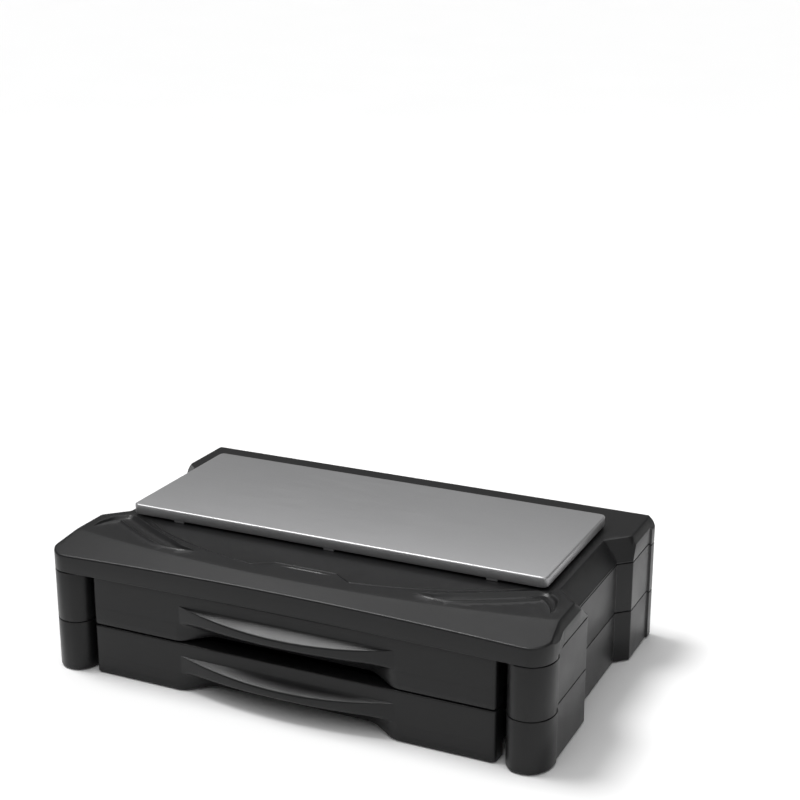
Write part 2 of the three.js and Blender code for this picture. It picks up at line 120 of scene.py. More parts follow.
def colour(name, description, value):
    return FloatVectorProperty(
        name=name, description=description, subtype="COLOR", size=3, default=value
    )


class RiserStandSizes(bpy.types.PropertyGroup):
    """Sizes of the details that don't change the stand's outline."""

    deck_edge: length("Deck edge", "Rounding of the deck's outer edge", 1.9)
    seam_edge: length("Seam edge", "Rounding of the cover's edge at its seam", 0.6)
    plate_edge: length("Platform edge", "Rounding of the platform's top edge", 1.6)
    scoop_depth: length("Scoop depth", "Depth of the two curved scoops in the deck", 2.0)
    line_height: length("Line height", "Height of the thin raised line on the deck", 0.55)
    rib_count: IntProperty(
        name="Ribs", description="Ribs across the inside of each rear wall", default=5, min=1
    )


class RiserStandColours(bpy.types.PropertyGroup):
    """Colours of the stand's materials."""

    body: colour("Body", "Deck, frames and drawer fronts", (0.0075, 0.0075, 0.0078))
    inner: colour("Inner", "Drawer trays and the inside", (0.015, 0.015, 0.016))
    platform: colour("Platform", "Satin silver of the platform", (0.36, 0.36, 0.365))
    rubber: colour("Rubber", "Feet and pads", (0.012, 0.012, 0.012))
    steel: colour("Steel", "Screws", (0.52, 0.52, 0.53))
    floor: colour("Floor", "Studio floor", (0.86, 0.86, 0.86))


# ---- Materials ----


class Nodes:
    """Short calls that add nodes to a tree and join them."""

    def join(self, value, socket):
        if isinstance(value, bpy.types.NodeSocket):
            self.tree.links.new(value, socket)
        else:
            socket.default_value = value

    def node(self, kind, inputs=(), **settings):
        made = self.tree.nodes.new(kind)
        for key, value in settings.items():
            setattr(made, key, value)
        for key, value in dict(inputs).items():
            self.join(value, made.inputs[key])
        return made

    def maths(self, operation, first, second=0.0):
        return self.node("ShaderNodeMath", {0: first, 1: second}, operation=operation).outputs[0]


class Finish(Nodes):
    """A new material."""

    def __init__(self, name):
        self.material = bpy.data.materials.new(name)
        self.material.use_nodes = True
        self.tree = self.material.node_tree
        self.shader = self.tree.nodes["Principled BSDF"]
        self.place = self.node("ShaderNodeTexCoord").outputs["Object"]

    def stretch(self, scale):
        """Object coordinates, stretched along the axes."""
        return self.node("ShaderNodeMapping", {"Vector": self.place, "Scale": scale}).outputs[0]

    def noise(self, scale, detail=2.0, roughness=0.5, vector=None):
        inputs = {"Scale": scale, "Detail": detail, "Roughness": roughness}
        inputs["Vector"] = vector or self.place
        return self.node("ShaderNodeTexNoise", inputs).outputs[0]

    def cells(self, scale):
        inputs = {"Vector": self.place, "Scale": scale, "Smoothness": 0.4}
        return self.node("ShaderNodeTexVoronoi", inputs, feature="SMOOTH_F1").outputs["Distance"]

    def remap(self, value, low, high, to_low, to_high):
        inputs = {"Value": value, "From Min": low, "From Max": high}
        inputs.update({"To Min": to_low, "To Max": to_high})
        return self.node("ShaderNodeMapRange", inputs).outputs[0]

    def mix(self, factor, first, second):
        made = self.node("ShaderNodeMix", data_type="RGBA")
        for socket, value in ((0, factor), (6, first), (7, second)):
            self.join(value, made.inputs[socket])
        return made.outputs[2]

    def polished_and_sheen_edges(self, reach):
        """0 on flats, rising to 1 near edges, where the softened normal leaves the true one. It
        marks where edges are polished and where a sheen is painted.
        """
        softened = self.node("ShaderNodeBevel", {"Radius": reach}, samples=4).outputs[0]
        true = self.node("ShaderNodeNewGeometry").outputs["Normal"]
        alike = self.node("ShaderNodeVectorMath", {0: softened, 1: true}, operation="DOT_PRODUCT")
        return self.remap(alike.outputs["Value"], 0.99, 0.90, 0.0, 1.0)

    def bump(self, height, strength, distance, below=None):
        inputs = {"Height": height, "Strength": strength, "Distance": distance}
        if below is not None:
            inputs["Normal"] = below
        return self.node("ShaderNodeBump", inputs).outputs[0]

    def use(self, **sockets):
        for key, value in sockets.items():
            self.join(value, self.shader.inputs[key.replace("_", " ")])
        return self.material


def tint(colour, factor):
    return (*(min(1.0, c * factor) for c in colour), 1.0)


def moulded_plastic(name, colour, roughness, grain, wear_and_sheen_tint=1.6):
    """Plastic with a fine grain, slight cloudiness and edges that handling has polished; the edges'
    colour is also lightened, partly as wear and partly as a painted sheen.
    """
    finish = Finish(name)
    cloud = finish.noise(9.0, 3.0, 0.55)
    speckle = finish.noise(1400.0, 2.0, 0.6)
    clouded = finish.remap(cloud, 0.3, 0.7, 0.0, 1.0)
    base = finish.mix(clouded, tint(colour, 0.92), tint(colour, 1.08))
    base = finish.mix(finish.remap(speckle, 0.35, 0.65, 0.0, 0.35), base, tint(colour, 1.25))
    edge = finish.polished_and_sheen_edges(0.0009)
    # Painted sheen: the colour is lightened near edges, partly standing in for wear and partly for
    # a highlight along them.
    base = finish.mix(finish.maths("MULTIPLY", edge, 0.5), base, tint(colour, wear_and_sheen_tint))
    smudge = finish.noise(34.0, 4.0, 0.6)
    rough = finish.remap(smudge, 0.3, 0.7, roughness - 0.03, roughness + 0.04)
    rough = finish.maths("SUBTRACT", rough, finish.maths("MULTIPLY", edge, 0.06))
    fine = finish.bump(finish.cells(1700.0), grain, 0.00012)
    relief = finish.bump(speckle, grain * 0.6, 0.00008, fine)
    return finish.use(Base_Color=base, Roughness=rough, Normal=relief, IOR=1.35)


def satin_silver(name, colour):
    """Silver lacquer with fine metal flake and a faint brushed direction along the width."""
    finish = Finish(name)
    brushed = finish.noise(1.0, 3.0, 0.6, finish.stretch((30.0, 1500.0, 1500.0)))
    flake = finish.noise(2600.0, 1.0, 0.5)
    cloud = finish.noise(6.0, 2.0, 0.5)
    clouded = finish.remap(cloud, 0.3, 0.7, 0.0, 1.0)
    base = finish.mix(clouded, tint(colour, 0.97), tint(colour, 1.03))
    base = finish.mix(finish.remap(flake, 0.4, 0.7, 0.0, 0.5), base, tint(colour, 1.18))
    rough = finish.remap(brushed, 0.3, 0.7, 0.36, 0.44)
    relief = finish.bump(brushed, 0.12, 0.00004)
    relief = finish.bump(flake, 0.10, 0.00004, relief)
    return finish.use(Base_Color=base, Roughness=rough, Metallic=0.75, Normal=relief)


def black_rubber(name, colour):
    """Dull rubber with dust in its pores."""
    finish = Finish(name)
    pores = finish.noise(900.0, 4.0, 0.65)
    dust = finish.remap(pores, 0.4, 0.75, 0.0, 0.6)
    base = finish.mix(dust, tint(colour, 1.0), tint(colour, 2.2))
    rough = finish.remap(pores, 0.3, 0.7, 0.78, 0.92)
    return finish.use(Base_Color=base, Roughness=rough, Normal=finish.bump(pores, 0.3, 0.0001))


def plated_steel(name, colour):
    """Zinc-plated steel with turning marks and a duller cloud."""
    finish = Finish(name)
    marks = finish.noise(1800.0, 2.0, 0.5, finish.stretch((1.0, 1.0, 6.0)))
    cloud = finish.noise(160.0, 3.0, 0.6)
    base = finish.mix(cloud, tint(colour, 0.8), tint(colour, 1.1))
    rough = finish.remap(cloud, 0.3, 0.7, 0.24, 0.42)
    relief = finish.bump(marks, 0.15, 0.00003)
    return finish.use(Base_Color=base, Roughness=rough, Metallic=1.0, Normal=relief)


def studio_floor(name, colour):
    finish = Finish(name)
    mottle = finish.noise(3.0, 2.0, 0.5)
    base = finish.mix(mottle, tint(colour, 0.995), tint(colour, 1.005))
    rough = finish.remap(mottle, 0.3, 0.7, 0.7, 0.8)
    return finish.use(Base_Color=base, Roughness=rough, Specular_IOR_Level=0.1)


MATERIALS = {}


def make_materials(colours):
    MATERIALS["body_plastic"] = moulded_plastic("Charcoal plastic", colours.body, 0.34, 0.3)
    MATERIALS["inner_plastic"] = moulded_plastic("Inner plastic", colours.inner, 0.42, 0.2, 1.3)
    MATERIALS["platform_silver"] = satin_silver("Satin silver", colours.platform)
    MATERIALS["foot_rubber"] = black_rubber("Black rubber", colours.rubber)
    MATERIALS["screw_steel"] = plated_steel("Plated steel", colours.steel)
    MATERIALS["floor"] = studio_floor("Studio floor", colours.floor)


# ---- Meshes ----


class Shell:
    """Points in millimetres and the faces between them, gathered until a piece is complete."""

    def __init__(self):
        self.points = []
        self.faces = []

    def ring(self, points):
        start = len(self.points)
        self.points.extend(points)
        return list(range(start, len(self.points)))

    def bridge(self, first, second, closed=True):
        count = len(first)
        for i in range(count if closed else count - 1):
            j = (i + 1) % count
            self.faces.append((first[i], first[j], second[j], second[i]))

    def stack(self, rings, cap_start=False, cap_end=False):
        """Rings of points joined in order, with flat lids where asked."""
        made = [self.ring(points) for points in rings]
        for first, second in zip(made, made[1:]):
            self.bridge(first, second)
        if cap_start:
            self.faces.append(tuple(reversed(made[0])))
        if cap_end:
            self.faces.append(tuple(made[-1]))
        return made

    def patch(self, outline, height, spacing, lines=()):
        """A surface inside an outline in X and Y, at height(x, y), with points spacing apart.

        Its faces also meet along the lines given.
        """
        border = [Vector((p[0], p[1])) for p in outline]
        count = len(border)
        edges = [(i, (i + 1) % count) for i in range(count)]
        places = border + [p for p in grid_inside(border, spacing) if not near_lines(p, lines)]
        for line in lines:
            edges += [(len(places) + k, len(places) + k + 1) for k in range(len(line) - 1)]
            places += line
        found = delaunay_2d_cdt(places, edges, [], 1, 1e-4)
        start = len(self.points)
        self.points.extend((p.x, p.y, height(p.x, p.y)) for p in found[0])
        self.faces.extend(tuple(start + i for i in face) for face in found[2])

    def add(self, other):
        start = len(self.points)
        self.points.extend(other.points)
        self.faces.extend(tuple(start + i for i in face) for face in other.faces)

    def flipped(self, side):
        """The same shell on the left, where side is -1."""
        if side > 0:
            return self
        other = Shell()
        other.points = [(-x, y, z) for x, y, z in self.points]
        other.faces = [tuple(reversed(face)) for face in self.faces]
        return other

    def piece(self, name, slot, body, nodes, sharp=32.0):
        mesh = bpy.data.meshes.new(name)
        mesh.from_pydata([(x * MM, y * MM, z * MM) for x, y, z in self.points], [], self.faces)
        return finish_piece(mesh, name, slot, body, nodes, sharp)


def near_lines(point, lines):
    """Whether a point is so close to a line's point that it would make a sliver."""
    return any((point - p).length_squared < 2.2 for line in lines for p in line)


def grid_inside(border, spacing):
    """Staggered points inside a closed outline, clear of its edge."""
    low_x, high_x = min(p.x for p in border), max(p.x for p in border)
    low_y, high_y = min(p.y for p in border), max(p.y for p in border)
    rows = max(1, round((high_y - low_y) / spacing))
    points = []
    for row in range(1, rows):
        y = low_y + (high_y - low_y) * row / rows
        crossings = []
        for a, b in zip(border, border[1:] + border[:1]):
            if (a.y > y) != (b.y > y):
                crossings.append(a.x + (y - a.y) / (b.y - a.y) * (b.x - a.x))
        crossings.sort()
        x = low_x + (spacing / 2 if row % 2 else spacing)
        while x < high_x:
            before = sum(c < x for c in crossings)
            near = min((abs(c - x) for c in crossings), default=spacing)
            if before % 2 and near > spacing * 0.6:
                points.append(Vector((x, y)))
            x += spacing
    return points


def finish_piece(mesh, name, slot, body, nodes, sharp):
    """Cleans a mesh, gives it its material and puts it on its body in place of its nodes."""
    work = bmesh.new()
    work.from_mesh(mesh)
    bmesh.ops.remove_doubles(work, verts=work.verts, dist=0.02 * MM)
    bmesh.ops.dissolve_degenerate(work, edges=work.edges, dist=0.004 * MM)
    bmesh.ops.recalc_face_normals(work, faces=work.faces)
    work.to_mesh(mesh)
    work.free()
    mesh.shade_smooth()
    mesh.set_sharp_from_angle(angle=math.radians(sharp))
    mesh.materials.clear()
    mesh.materials.append(MATERIALS[slot])
    made = bpy.data.objects.new(name, mesh)
    bpy.context.scene.collection.objects.link(made)
    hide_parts(*nodes)
    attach(made, body)
    return made


# ---- Outlines ----


def rounded(corners, step=2.0, arc_step=0.6):
    """Points round a closed outline, with each corner (x, y, radius) turned on an arc."""
    points = []
    count = len(corners)
    for i, (x, y, radius) in enumerate(corners):
        here = Vector((x, y))
        before = (Vector(corners[i - 1][:2]) - here).normalized()
        after = (Vector(corners[(i + 1) % count][:2]) - here).normalized()
        if radius <= 0:
            points.append(here)
            continue
        half = before.angle(after) / 2
        reach = radius / math.tan(half)
        centre = here + (before + after).normalized() * radius / math.sin(half)
        start = here + before * reach - centre
        stop = here + after * reach - centre
        first = math.atan2(start.y, start.x)
        turn = (math.atan2(stop.y, stop.x) - first + math.pi) % (2 * math.pi) - math.pi
        steps = max(3, math.ceil(abs(turn) * radius / arc_step))
        for k in range(steps + 1):
            angle = first + turn * k / steps
            points.append(centre + radius * Vector((math.cos(angle), math.sin(angle))))
    filled = []
    for a, b in zip(points, points[1:] + points[:1]):
        steps = max(1, math.ceil((b - a).length / step))
        filled.extend(a.lerp(b, k / steps) for k in range(steps))
    return [p for i, p in enumerate(filled) if (p - filled[i - 1]).length > 0.01]


def inset(outline, distance):
    """An outline that runs anticlockwise, moved inwards."""
    moved = []
    count = len(outline)
    for i, p in enumerate(outline):
        along = (p - outline[i - 1]).normalized()
        on = (outline[(i + 1) % count] - p).normalized()
        first = Vector((-along.y, along.x))
        second = Vector((-on.y, on.x))
        moved.append(p + (first + second) * distance / max(0.3, 1 + first.dot(second)))
    return moved


def level_ring(outline, z):
    return [(p.x, p.y, z) for p in outline]


def edge_steps(radius, count=5):
    """(inset, drop) pairs down a rounded edge, from the wall to the flat."""
    steps = []
    for k in range(count + 1):
        angle = math.pi / 2 * k / count
        steps.append((radius * (1 - math.cos(angle)), radius * (1 - math.sin(angle))))
    return steps


def slab(outline, low, high, low_edge, high_edge, count=4):
    """A closed slab with rounded lower and upper edges, and narrow flat bands round each lid."""
    shell = Shell()
    rings = [level_ring(inset(outline, low_edge * share), low) for share in (1.8, 1.4)]
    for i, d in reversed(edge_steps(low_edge, count)):
        rings.append(level_ring(inset(outline, i), low + d))
    for i, d in edge_steps(high_edge, count):
        rings.append(level_ring(inset(outline, i), high - d))
    rings += [level_ring(inset(outline, high_edge * share), high) for share in (1.4, 1.8)]
    shell.stack(rings, cap_start=True, cap_end=True)
    return shell


def block(x0, x1, y0, y1, z0, z1, edge=0.5):
    """A box with rounded upright corners and softened edges."""
    corners = [(x0, y0, edge), (x1, y0, edge), (x1, y1, edge), (x0, y1, edge)]
    return slab(rounded(corners, 60.0, 0.6), z0, z1, edge * 0.7, edge * 0.7, 2)


def column_corner(x, side, reach_x, reach_y):
    """An elliptical turn at a front column's corner, on its outer (1) or inner (-1) side."""
    turn = []
    steps = 12
    for k in range(steps + 1):
        angle = math.pi / 2 * k / steps
        in_x = reach_x * (1 - math.sin(angle))
        turn.append((x - side * in_x, COLUMN_Y + reach_y * (1 - math.cos(angle)), 0.0))
    return turn if side > 0 else turn[::-1]


def right_side(behind_column):
    """Corners of the stand's right side, from the front column to the rear corner."""
    return [
        *column_corner(HALF_WIDTH, 1, 18.0, 22.0),
        (HALF_WIDTH, COLUMN_BACK_Y - NOTCH - 0.5, 0.0),
        (HALF_WIDTH, COLUMN_BACK_Y - NOTCH + 0.5, 0.0),
        *behind_column,
        (WALL_X, WAIST_FRONT_Y, 1.2),
        (WAIST_X, WAIST_FRONT_Y + WALL_X - WAIST_X, 1.2),
        (WAIST_X, WAIST_BACK_Y - WALL_X + WAIST_X, 1.2),
        (WALL_X, WAIST_BACK_Y, 1.2),
        (WALL_X, REAR_COLUMN_Y, 1.0),
        (HALF_WIDTH, REAR_COLUMN_Y + 1.5, 1.2),
        (HALF_WIDTH, REAR_Y, 4.0),
    ]


def deck_outline():
    """The cover's outline, with a fascia that bows forward towards both columns."""
    right = right_side([(HALF_WIDTH, COLUMN_BACK_Y, 6.0), (WALL_X, COLUMN_BACK_Y + 12.0, 6.0)])
    left = [(-x, y, r) for x, y, r in reversed(right)]
    middle_y = FACE_Y - FASCIA_REACH
    fascia = []
    for k in range(-18, 19):
        x = FASCIA_END_X * k / 18
        fascia.append((x, middle_y - (middle_y - COLUMN_Y) * (x / FASCIA_END_X) ** 2, 0.0))
    return rounded(fascia + right + left, 2.5)


def frame_outline():
    """The right side frame's outline, clear of the drawer bay."""
    right = right_side([(HALF_WIDTH, COLUMN_BACK_Y, 0.6), (WALL_X, COLUMN_BACK_Y + 1.5, 0.8)])
    return rounded([*column_corner(BAY_X, -1, 14.0, 17.0), *right, (BAY_X, REAR_Y, 1.5)], 3.0)


def smooth_step(low, high, value):
    """0 at low, rising or falling smoothly to 1 at high."""
    t = min(1.0, max(0.0, (value - low) / (high - low)))
    return t * t * (3 - 2 * t)


def soft_min(a, b, k):
    t = max(k - abs(a - b), 0.0) / k
    return min(a, b) - t * t * k / 4


def soft_max(a, b, k):
    return -soft_min(-a, -b, k)


# ---- Deck cover ----

APRON_DROP = 4.0
APRON_DROP_AT_ENDS = 6.2
CREASE_Y = FACE_Y + 12.2
CREASE_SWEEP = 18.8
CREASE_HALF = 204.0
EDGE_SLOPE = 1.63
WAIST_SLOPE = 1.61
FRONT_TURN_SLOPE = 0.777
REAR_TURN_SLOPE = 2.05
DECK_THICKNESS = 3.5
SHOULDER = 3.4  # how far the seams step up behind the front columns
SHOULDER_FALL = 1.2  # how much less they do at the rear columns


def crease_y(x):
    """Where the flat deck turns down into the front apron."""
    return CREASE_Y + CREASE_SWEEP * (x / CREASE_HALF) ** 2


def flowing(table, spacing):
    """Points about spacing apart on a smooth curve through a table's rows."""
    before = tuple(2 * p - q for p, q in zip(table[0], table[1]))
    after = tuple(2 * p - q for p, q in zip(table[-1], table[-2]))
    knots = [Vector(p) for p in (before, *table, after)]
    points = []
    for a, b, c, d in zip(knots, knots[1:], knots[2:], knots[3:]):
        steps = max(1, round((c - b).length / spacing))
        for k in range(steps):
            t = k / steps
            smooth = 2 * b + (c - a) * t + (2 * a - 5 * b + 4 * c - d) * t * t
            smooth += (3 * b - a - 3 * c + d) * t ** 3
            points.append(smooth / 2)
    return points + [knots[-2]]


# Each scoop is a boomerang with two arms. Rows are (x, distance behind the face, half width).
INNER_ARM = flowing(
    (
        (98.0, 31.0, 0.8),
        (105.0, 30.8, 2.6),
        (115.7, 31.9, 4.6),
        (124.4, 35.0, 6.0),
        (137.4, 40.6, 6.4),
        (153.5, 49.0, 6.5),
        (169.7, 58.5, 6.5),
        (184.5, 67.5, 6.2),
    ),
    3.0,
)
OUTER_ARM = flowing(
    (
        (184.5, 67.5, 6.2),
        (192.5, 62.0, 5.0),
        (198.0, 50.0, 2.4),
        (199.5, 43.0, 1.0),
    ),
    3.0,
)
RIM_AT = 1.14  # where the rim's top lies, as a share of the arm's half width


def across_arm(arm, x, y):
    """A point's distance from an arm's middle line as a share of the half width, and that width."""
    best = (9.0, 1.0)
    for (x0, y0, w0), (x1, y1, w1) in zip(arm, arm[1:]):
        along_x, along_y = x1 - x0, y1 - y0
        t = ((x - x0) * along_x + (y - y0) * along_y) / (along_x * along_x + along_y * along_y)
        t = min(1.0, max(0.0, t))
        width = w0 + (w1 - w0) * t
        away = math.hypot(x - x0 - along_x * t, y - y0 - along_y * t)
        best = min(best, (away / width, width))
    return best


def scoop_depth(x, y):
    """How far the curved scoops and their rims move the deck at a point, from -1 to 1."""
    ax = abs(x)
    back = y - FACE_Y
    if not 94.0 < ax < 206.0 or not 14.0 < back < 84.0:
        return 0.0
    inner, inner_width = across_arm(INNER_ARM, ax, back)
    outer, outer_width = across_arm(OUTER_ARM, ax, back)
    v, width = min((inner, inner_width), (outer, outer_width))
    bowl = -smooth_step(1.0, 0.45, v) * min(1.0, width / 4.5)
    rim = 0.62 * math.exp(-(((v - RIM_AT) * width) / 1.15) ** 2) * min(1.0, width / 2.4)
    return bowl + (rim if outer > inner else rim * 0.5)


def deck_height(x, y, scoop=0.0):
    """Height of the cover's outer surface."""
    ax = abs(x)
    drop = APRON_DROP + (APRON_DROP_AT_ENDS - APRON_DROP) * (x / CREASE_HALF) ** 2
    back = crease_y(x)
    apron = DECK_Z - drop * (back - y) / (back - FACE_Y)
    top = soft_min(DECK_Z, apron, 0.5)
    edge = DECK_Z - (ax - DECK_EDGE_X) * EDGE_SLOPE
    top = soft_min(top, edge, 1.2)
    waist = DECK_Z - (ax - DECK_WAIST_X) * WAIST_SLOPE
    front_turn = DECK_Z - (ax + y - FRONT_TURN) * FRONT_TURN_SLOPE
    rear_turn = DECK_Z - (ax - y - REAR_TURN) * REAR_TURN_SLOPE
    facets = soft_max(soft_max(waist, front_turn, 0.8), rear_turn, 0.8)
    top = soft_min(top, facets, 0.8)
    return top + scoop * scoop_depth(x, y)


def seam_z(level_z, y, early=0.0):
    """Height of a seam between levels: low on the columns, stepped up along the side wall.

    The piece above steps up a little early, which leaves a notch behind the column.
    """
    step = smooth_step(COLUMN_BACK_Y - 0.3 - early, COLUMN_BACK_Y + 0.3 - early, y)
    step *= 1 - smooth_step(REAR_COLUMN_Y - 0.8, REAR_COLUMN_Y + 0.8, y)
    along = (y - COLUMN_BACK_Y) / (REAR_COLUMN_Y - COLUMN_BACK_Y)
    return level_z + step * (SHOULDER - SHOULDER_FALL * along)


def above_seam(level_z, x, y):
    """The lower edge of the piece above a seam. The notches are only on the outer sides."""
    return seam_z(level_z, y, NOTCH if abs(x) > WALL_X - 4 else 0.0) + SEAM_GAP


def straight(a, b, spacing=2.0):
    a, b = Vector(a), Vector(b)
    count = max(1, round((b - a).length / spacing))
    return [a.lerp(b, k / count) for k in range(count + 1)]


def crease_lines():
    """Lines in plan where the cover's surface turns, which its faces keep to."""
    lines = []
    for offset in (-0.7, -0.25, 0.25, 0.7):
        lines.append([Vector((k * 2.0, crease_y(k * 2.0) + offset)) for k in range(-102, 103)])
    front = (DECK_WAIST_X, FRONT_TURN - DECK_WAIST_X)
    rear = (DECK_WAIST_X, DECK_WAIST_X - REAR_TURN)
    front_end = (DECK_EDGE_X, FRONT_TURN - DECK_EDGE_X)
    rear_end = (DECK_EDGE_X, DECK_EDGE_X - REAR_TURN)
    low_front = (WAIST_X - 2.2, WAIST_FRONT_Y + 9.2)
    low_rear = (WAIST_X - 2.2, WAIST_BACK_Y - 9.2)
    for side in (-1, 1):
        for offset in (-0.5, 0.0, 0.5):
            rim = []
            for k in range(24):
                y = FACE_Y - 6.0 + (crease_y(DECK_EDGE_X) - 1.0 - FACE_Y + 6.0) * k / 23
                fall = (DECK_Z - deck_height(DECK_EDGE_X - 8.0, y)) / EDGE_SLOPE
                rim.append(Vector((side * (DECK_EDGE_X + fall + offset), y)))
            lines.append(rim)
        for offset in (-0.6, 0.0, 0.6):
            runs = (
                ((front[0] + offset, front[1] + 1), (rear[0] + offset, rear[1] - 1)),
                (
                    (front[0] + 1, front[1] - 1 + offset),
                    (front_end[0] - 1, front_end[1] + 1 + offset),
                ),
                (
                    (rear[0] + 1, rear[1] + 1 - offset),
                    (rear_end[0] - 1, rear_end[1] - 1 - offset),
                ),
                (
                    (DECK_EDGE_X + offset, crease_y(DECK_EDGE_X) + 2),
                    (DECK_EDGE_X + offset, front_end[1] - 1),
                ),
                ((DECK_EDGE_X + offset, rear_end[1] + 1), (DECK_EDGE_X + offset, REAR_Y - 4)),
                ((front[0] + 1.2, front[1] + offset + 1), (low_front[0], low_front[1] + offset)),
                ((rear[0] + 1.2, rear[1] + offset - 1), (low_rear[0], low_rear[1] + offset)),
            )
            for a, b in runs:
                lines.append([Vector((side * p.x, p.y)) for p in straight(a, b)])
    return lines


def scoop_lines():
    """Lines along the scoops' arms at set shares of their width, which the faces keep to."""
    lines = []
    for arm in (INNER_ARM, OUTER_ARM):
        for share in (0.0, 0.42, 0.6, 0.8, 1.0, RIM_AT - 0.05, RIM_AT + 0.05, 1.28, 1.45):
            for side in (-1, 1) if share else (1,):
                line = []
                for i, (x, y, width) in enumerate(arm):
                    (ax, ay, _), (bx, by, _) = arm[max(0, i - 1)], arm[min(len(arm) - 1, i + 1)]
                    turn = side * share * width / math.hypot(bx - ax, by - ay)
                    line.append(Vector((x - (by - ay) * turn, FACE_Y + y + (bx - ax) * turn)))
                for mirrored in (-1, 1):
                    lines.append([Vector((mirrored * p.x, p.y)) for p in line])
    return lines


# The thin raised line across the deck, from its middle to its right end.
# Rows are (x, distance behind the face).
LINE = (
    (0.0, 38.5),
    (27.0, 38.5),
    (42.7, 28.0),
    (60.0, 30.8),
    (81.5, 35.5),
    (103.4, 41.5),
    (124.6, 49.2),
    (145.0, 58.5),
    (160.7, 69.2),
    (168.3, 75.0),
)
SHORT_LINE = ((-20.0, 34.4), (24.0, 34.4))


# The bead's section: (distance across, share of its height). Its foot stays sunk in the deck.
BEAD_SECTION = ((-1.0, -0.6), (-0.95, 0.0), (-0.35, 1.0), (0.35, 1.0), (0.95, 0.0), (1.0, -0.6))


def bead(path, height):
    """A low rounded bead along a path on the deck, with its foot sunk in the deck."""
    shell = Shell()
    route = [Vector((x, FACE_Y + y)) for x, y in path]
    route = [p for a, b in zip(route, route[1:]) for p in straight(a, b)[:-1]] + route[-1:]
    rings = []
    for i, p in enumerate(route):
        along = (route[min(i + 1, len(route) - 1)] - route[max(i - 1, 0)]).normalized()
        across = Vector((-along.y, along.x))
        taper = min(1.0, 0.15 + 0.2 * min(i, len(route) - 1 - i))
        ring = []
        for off, rise in BEAD_SECTION:
            q = p + across * off
            lift = rise * height * (taper if rise > 0 else 1.0)
            ring.append((q.x, q.y, deck_height(q.x, q.y) + lift))
        rings.append(ring)
    shell.stack(rings, cap_start=True, cap_end=True)
    return shell


def build_cover(sizes):
    """The cover: its outside, its hollow underside and the raised lines on the deck."""
    outline = deck_outline()
    radius = sizes.deck_edge / MM
    seam_edge = sizes.seam_edge / MM
    depth = sizes.scoop_depth / MM
    shell = Shell()
    base = [above_seam(CAP_SEAM, p.x, p.y) for p in outline]
    inner = inset(outline, WALL)
    inner_top = []
    for q, z in zip(inner, base):
        inner_top.append((q.x, q.y, max(z + 1.0, deck_height(q.x, q.y) - DECK_THICKNESS)))
    rings = [inner_top]
    rings.append([(q.x, q.y, z) for q, z in zip(inner, base)])
    for i, d in reversed(edge_steps(seam_edge, 3)):
        rings.append([(q.x, q.y, z + d) for q, z in zip(inset(outline, i), base)])
    rim = inset(outline, radius)
    heights = [deck_height(p.x, p.y, depth) for p in rim]
    for i, d in edge_steps(radius, 5):
        ring = []
        for q, h, z in zip(inset(outline, i), heights, base):
            lowered = max(min(h - d, deck_height(q.x, q.y)), z + 1.3)
            ring.append((q.x, q.y, lowered if d else h))
        rings.append(ring)
    shell.stack(rings)

    def surface(x, y):
        return deck_height(x, y, depth)

    def ceiling(x, y):
        return max(CAP_SEAM + 2.0, deck_height(x, y) - DECK_THICKNESS)

    shell.patch(rim, surface, 5.0, crease_lines() + scoop_lines())
    shell.patch(inner, ceiling, 14.0)
    height = sizes.line_height / MM
    shell.add(bead([(-x, y) for x, y in reversed(LINE[1:])] + list(LINE), height))
    shell.add(bead(SHORT_LINE, height * 0.8))
    return shell.piece("deck_cover", "body_plastic", STAND, ["top_cover"])


# ---- Side frames ----

TRAVEL = 180.0  # how far a drawer pulls out, up to its stop blocks
STOP_DEPTH = 8.0
STOP_X = 174.0
STOP_LOW, STOP_HIGH = 34.3, 40.0  # above the level's base
RAIL_X = 172.5
RAIL_TOP = 30.7  # above the level's base
FLANGE_Y = FACE_Y + 23.5  # front of the rails and of the trays' flanges


def side_frame(level):
    """The right side frame of a level, with its walls, drawer rail and stop block."""
    outline = frame_outline()
    floor = level * LEVEL
    top = floor + LEVEL
    bottoms = [above_seam(floor, p.x, p.y) if level else BASE_Z for p in outline]
    tops = [seam_z(top, p.y) - 0.1 for p in outline]
    edge = 0.6 if level else 1.4
    shell = Shell()
    inner = inset(outline, WALL)
    ceiling = top - WALL
    rings = [[(q.x, q.y, z) for q, z in zip(inner, bottoms)]]
    for i, d in reversed(edge_steps(edge, 3)):
        rings.append([(q.x, q.y, z + d) for q, z in zip(inset(outline, i), bottoms)])
    for i, d in edge_steps(0.6, 3):
        rings.append([(q.x, q.y, z - d) for q, z in zip(inset(outline, i), tops)])
    made = shell.stack([level_ring(inner, ceiling)] + rings)
    rim = [Vector(shell.points[i][:2]) for i in made[-1]]
    shell.patch(rim, lambda x, y: seam_z(top, y) - 0.1, 8.0)
    shell.patch(inner, lambda x, y: ceiling, 14.0)
    inside = BAY_X + 1
    rail_top = floor + RAIL_TOP
    shell.add(block(RAIL_X, inside, FLANGE_Y, TRAY_BACK_Y, rail_top - 3, rail_top, 0.6))
    stop = TRAY_BACK_Y - TRAVEL - STOP_DEPTH
    low, high = floor + STOP_LOW, floor + STOP_HIGH
    shell.add(block(STOP_X, inside, stop - STOP_DEPTH, stop - 0.3, low, high, 0.5))
    return shell


def build_side_frames():
    for level, level_name in enumerate(LEVELS):
        for side_name, side in SIDES:
            name = f"{level_name}_{side_name}_side_frame"
            shell = side_frame(level).flipped(side)
            shell.piece(f"{name}_moulding", "body_plastic", STAND, [name])


# ---- Pieces grown by geometry nodes ----


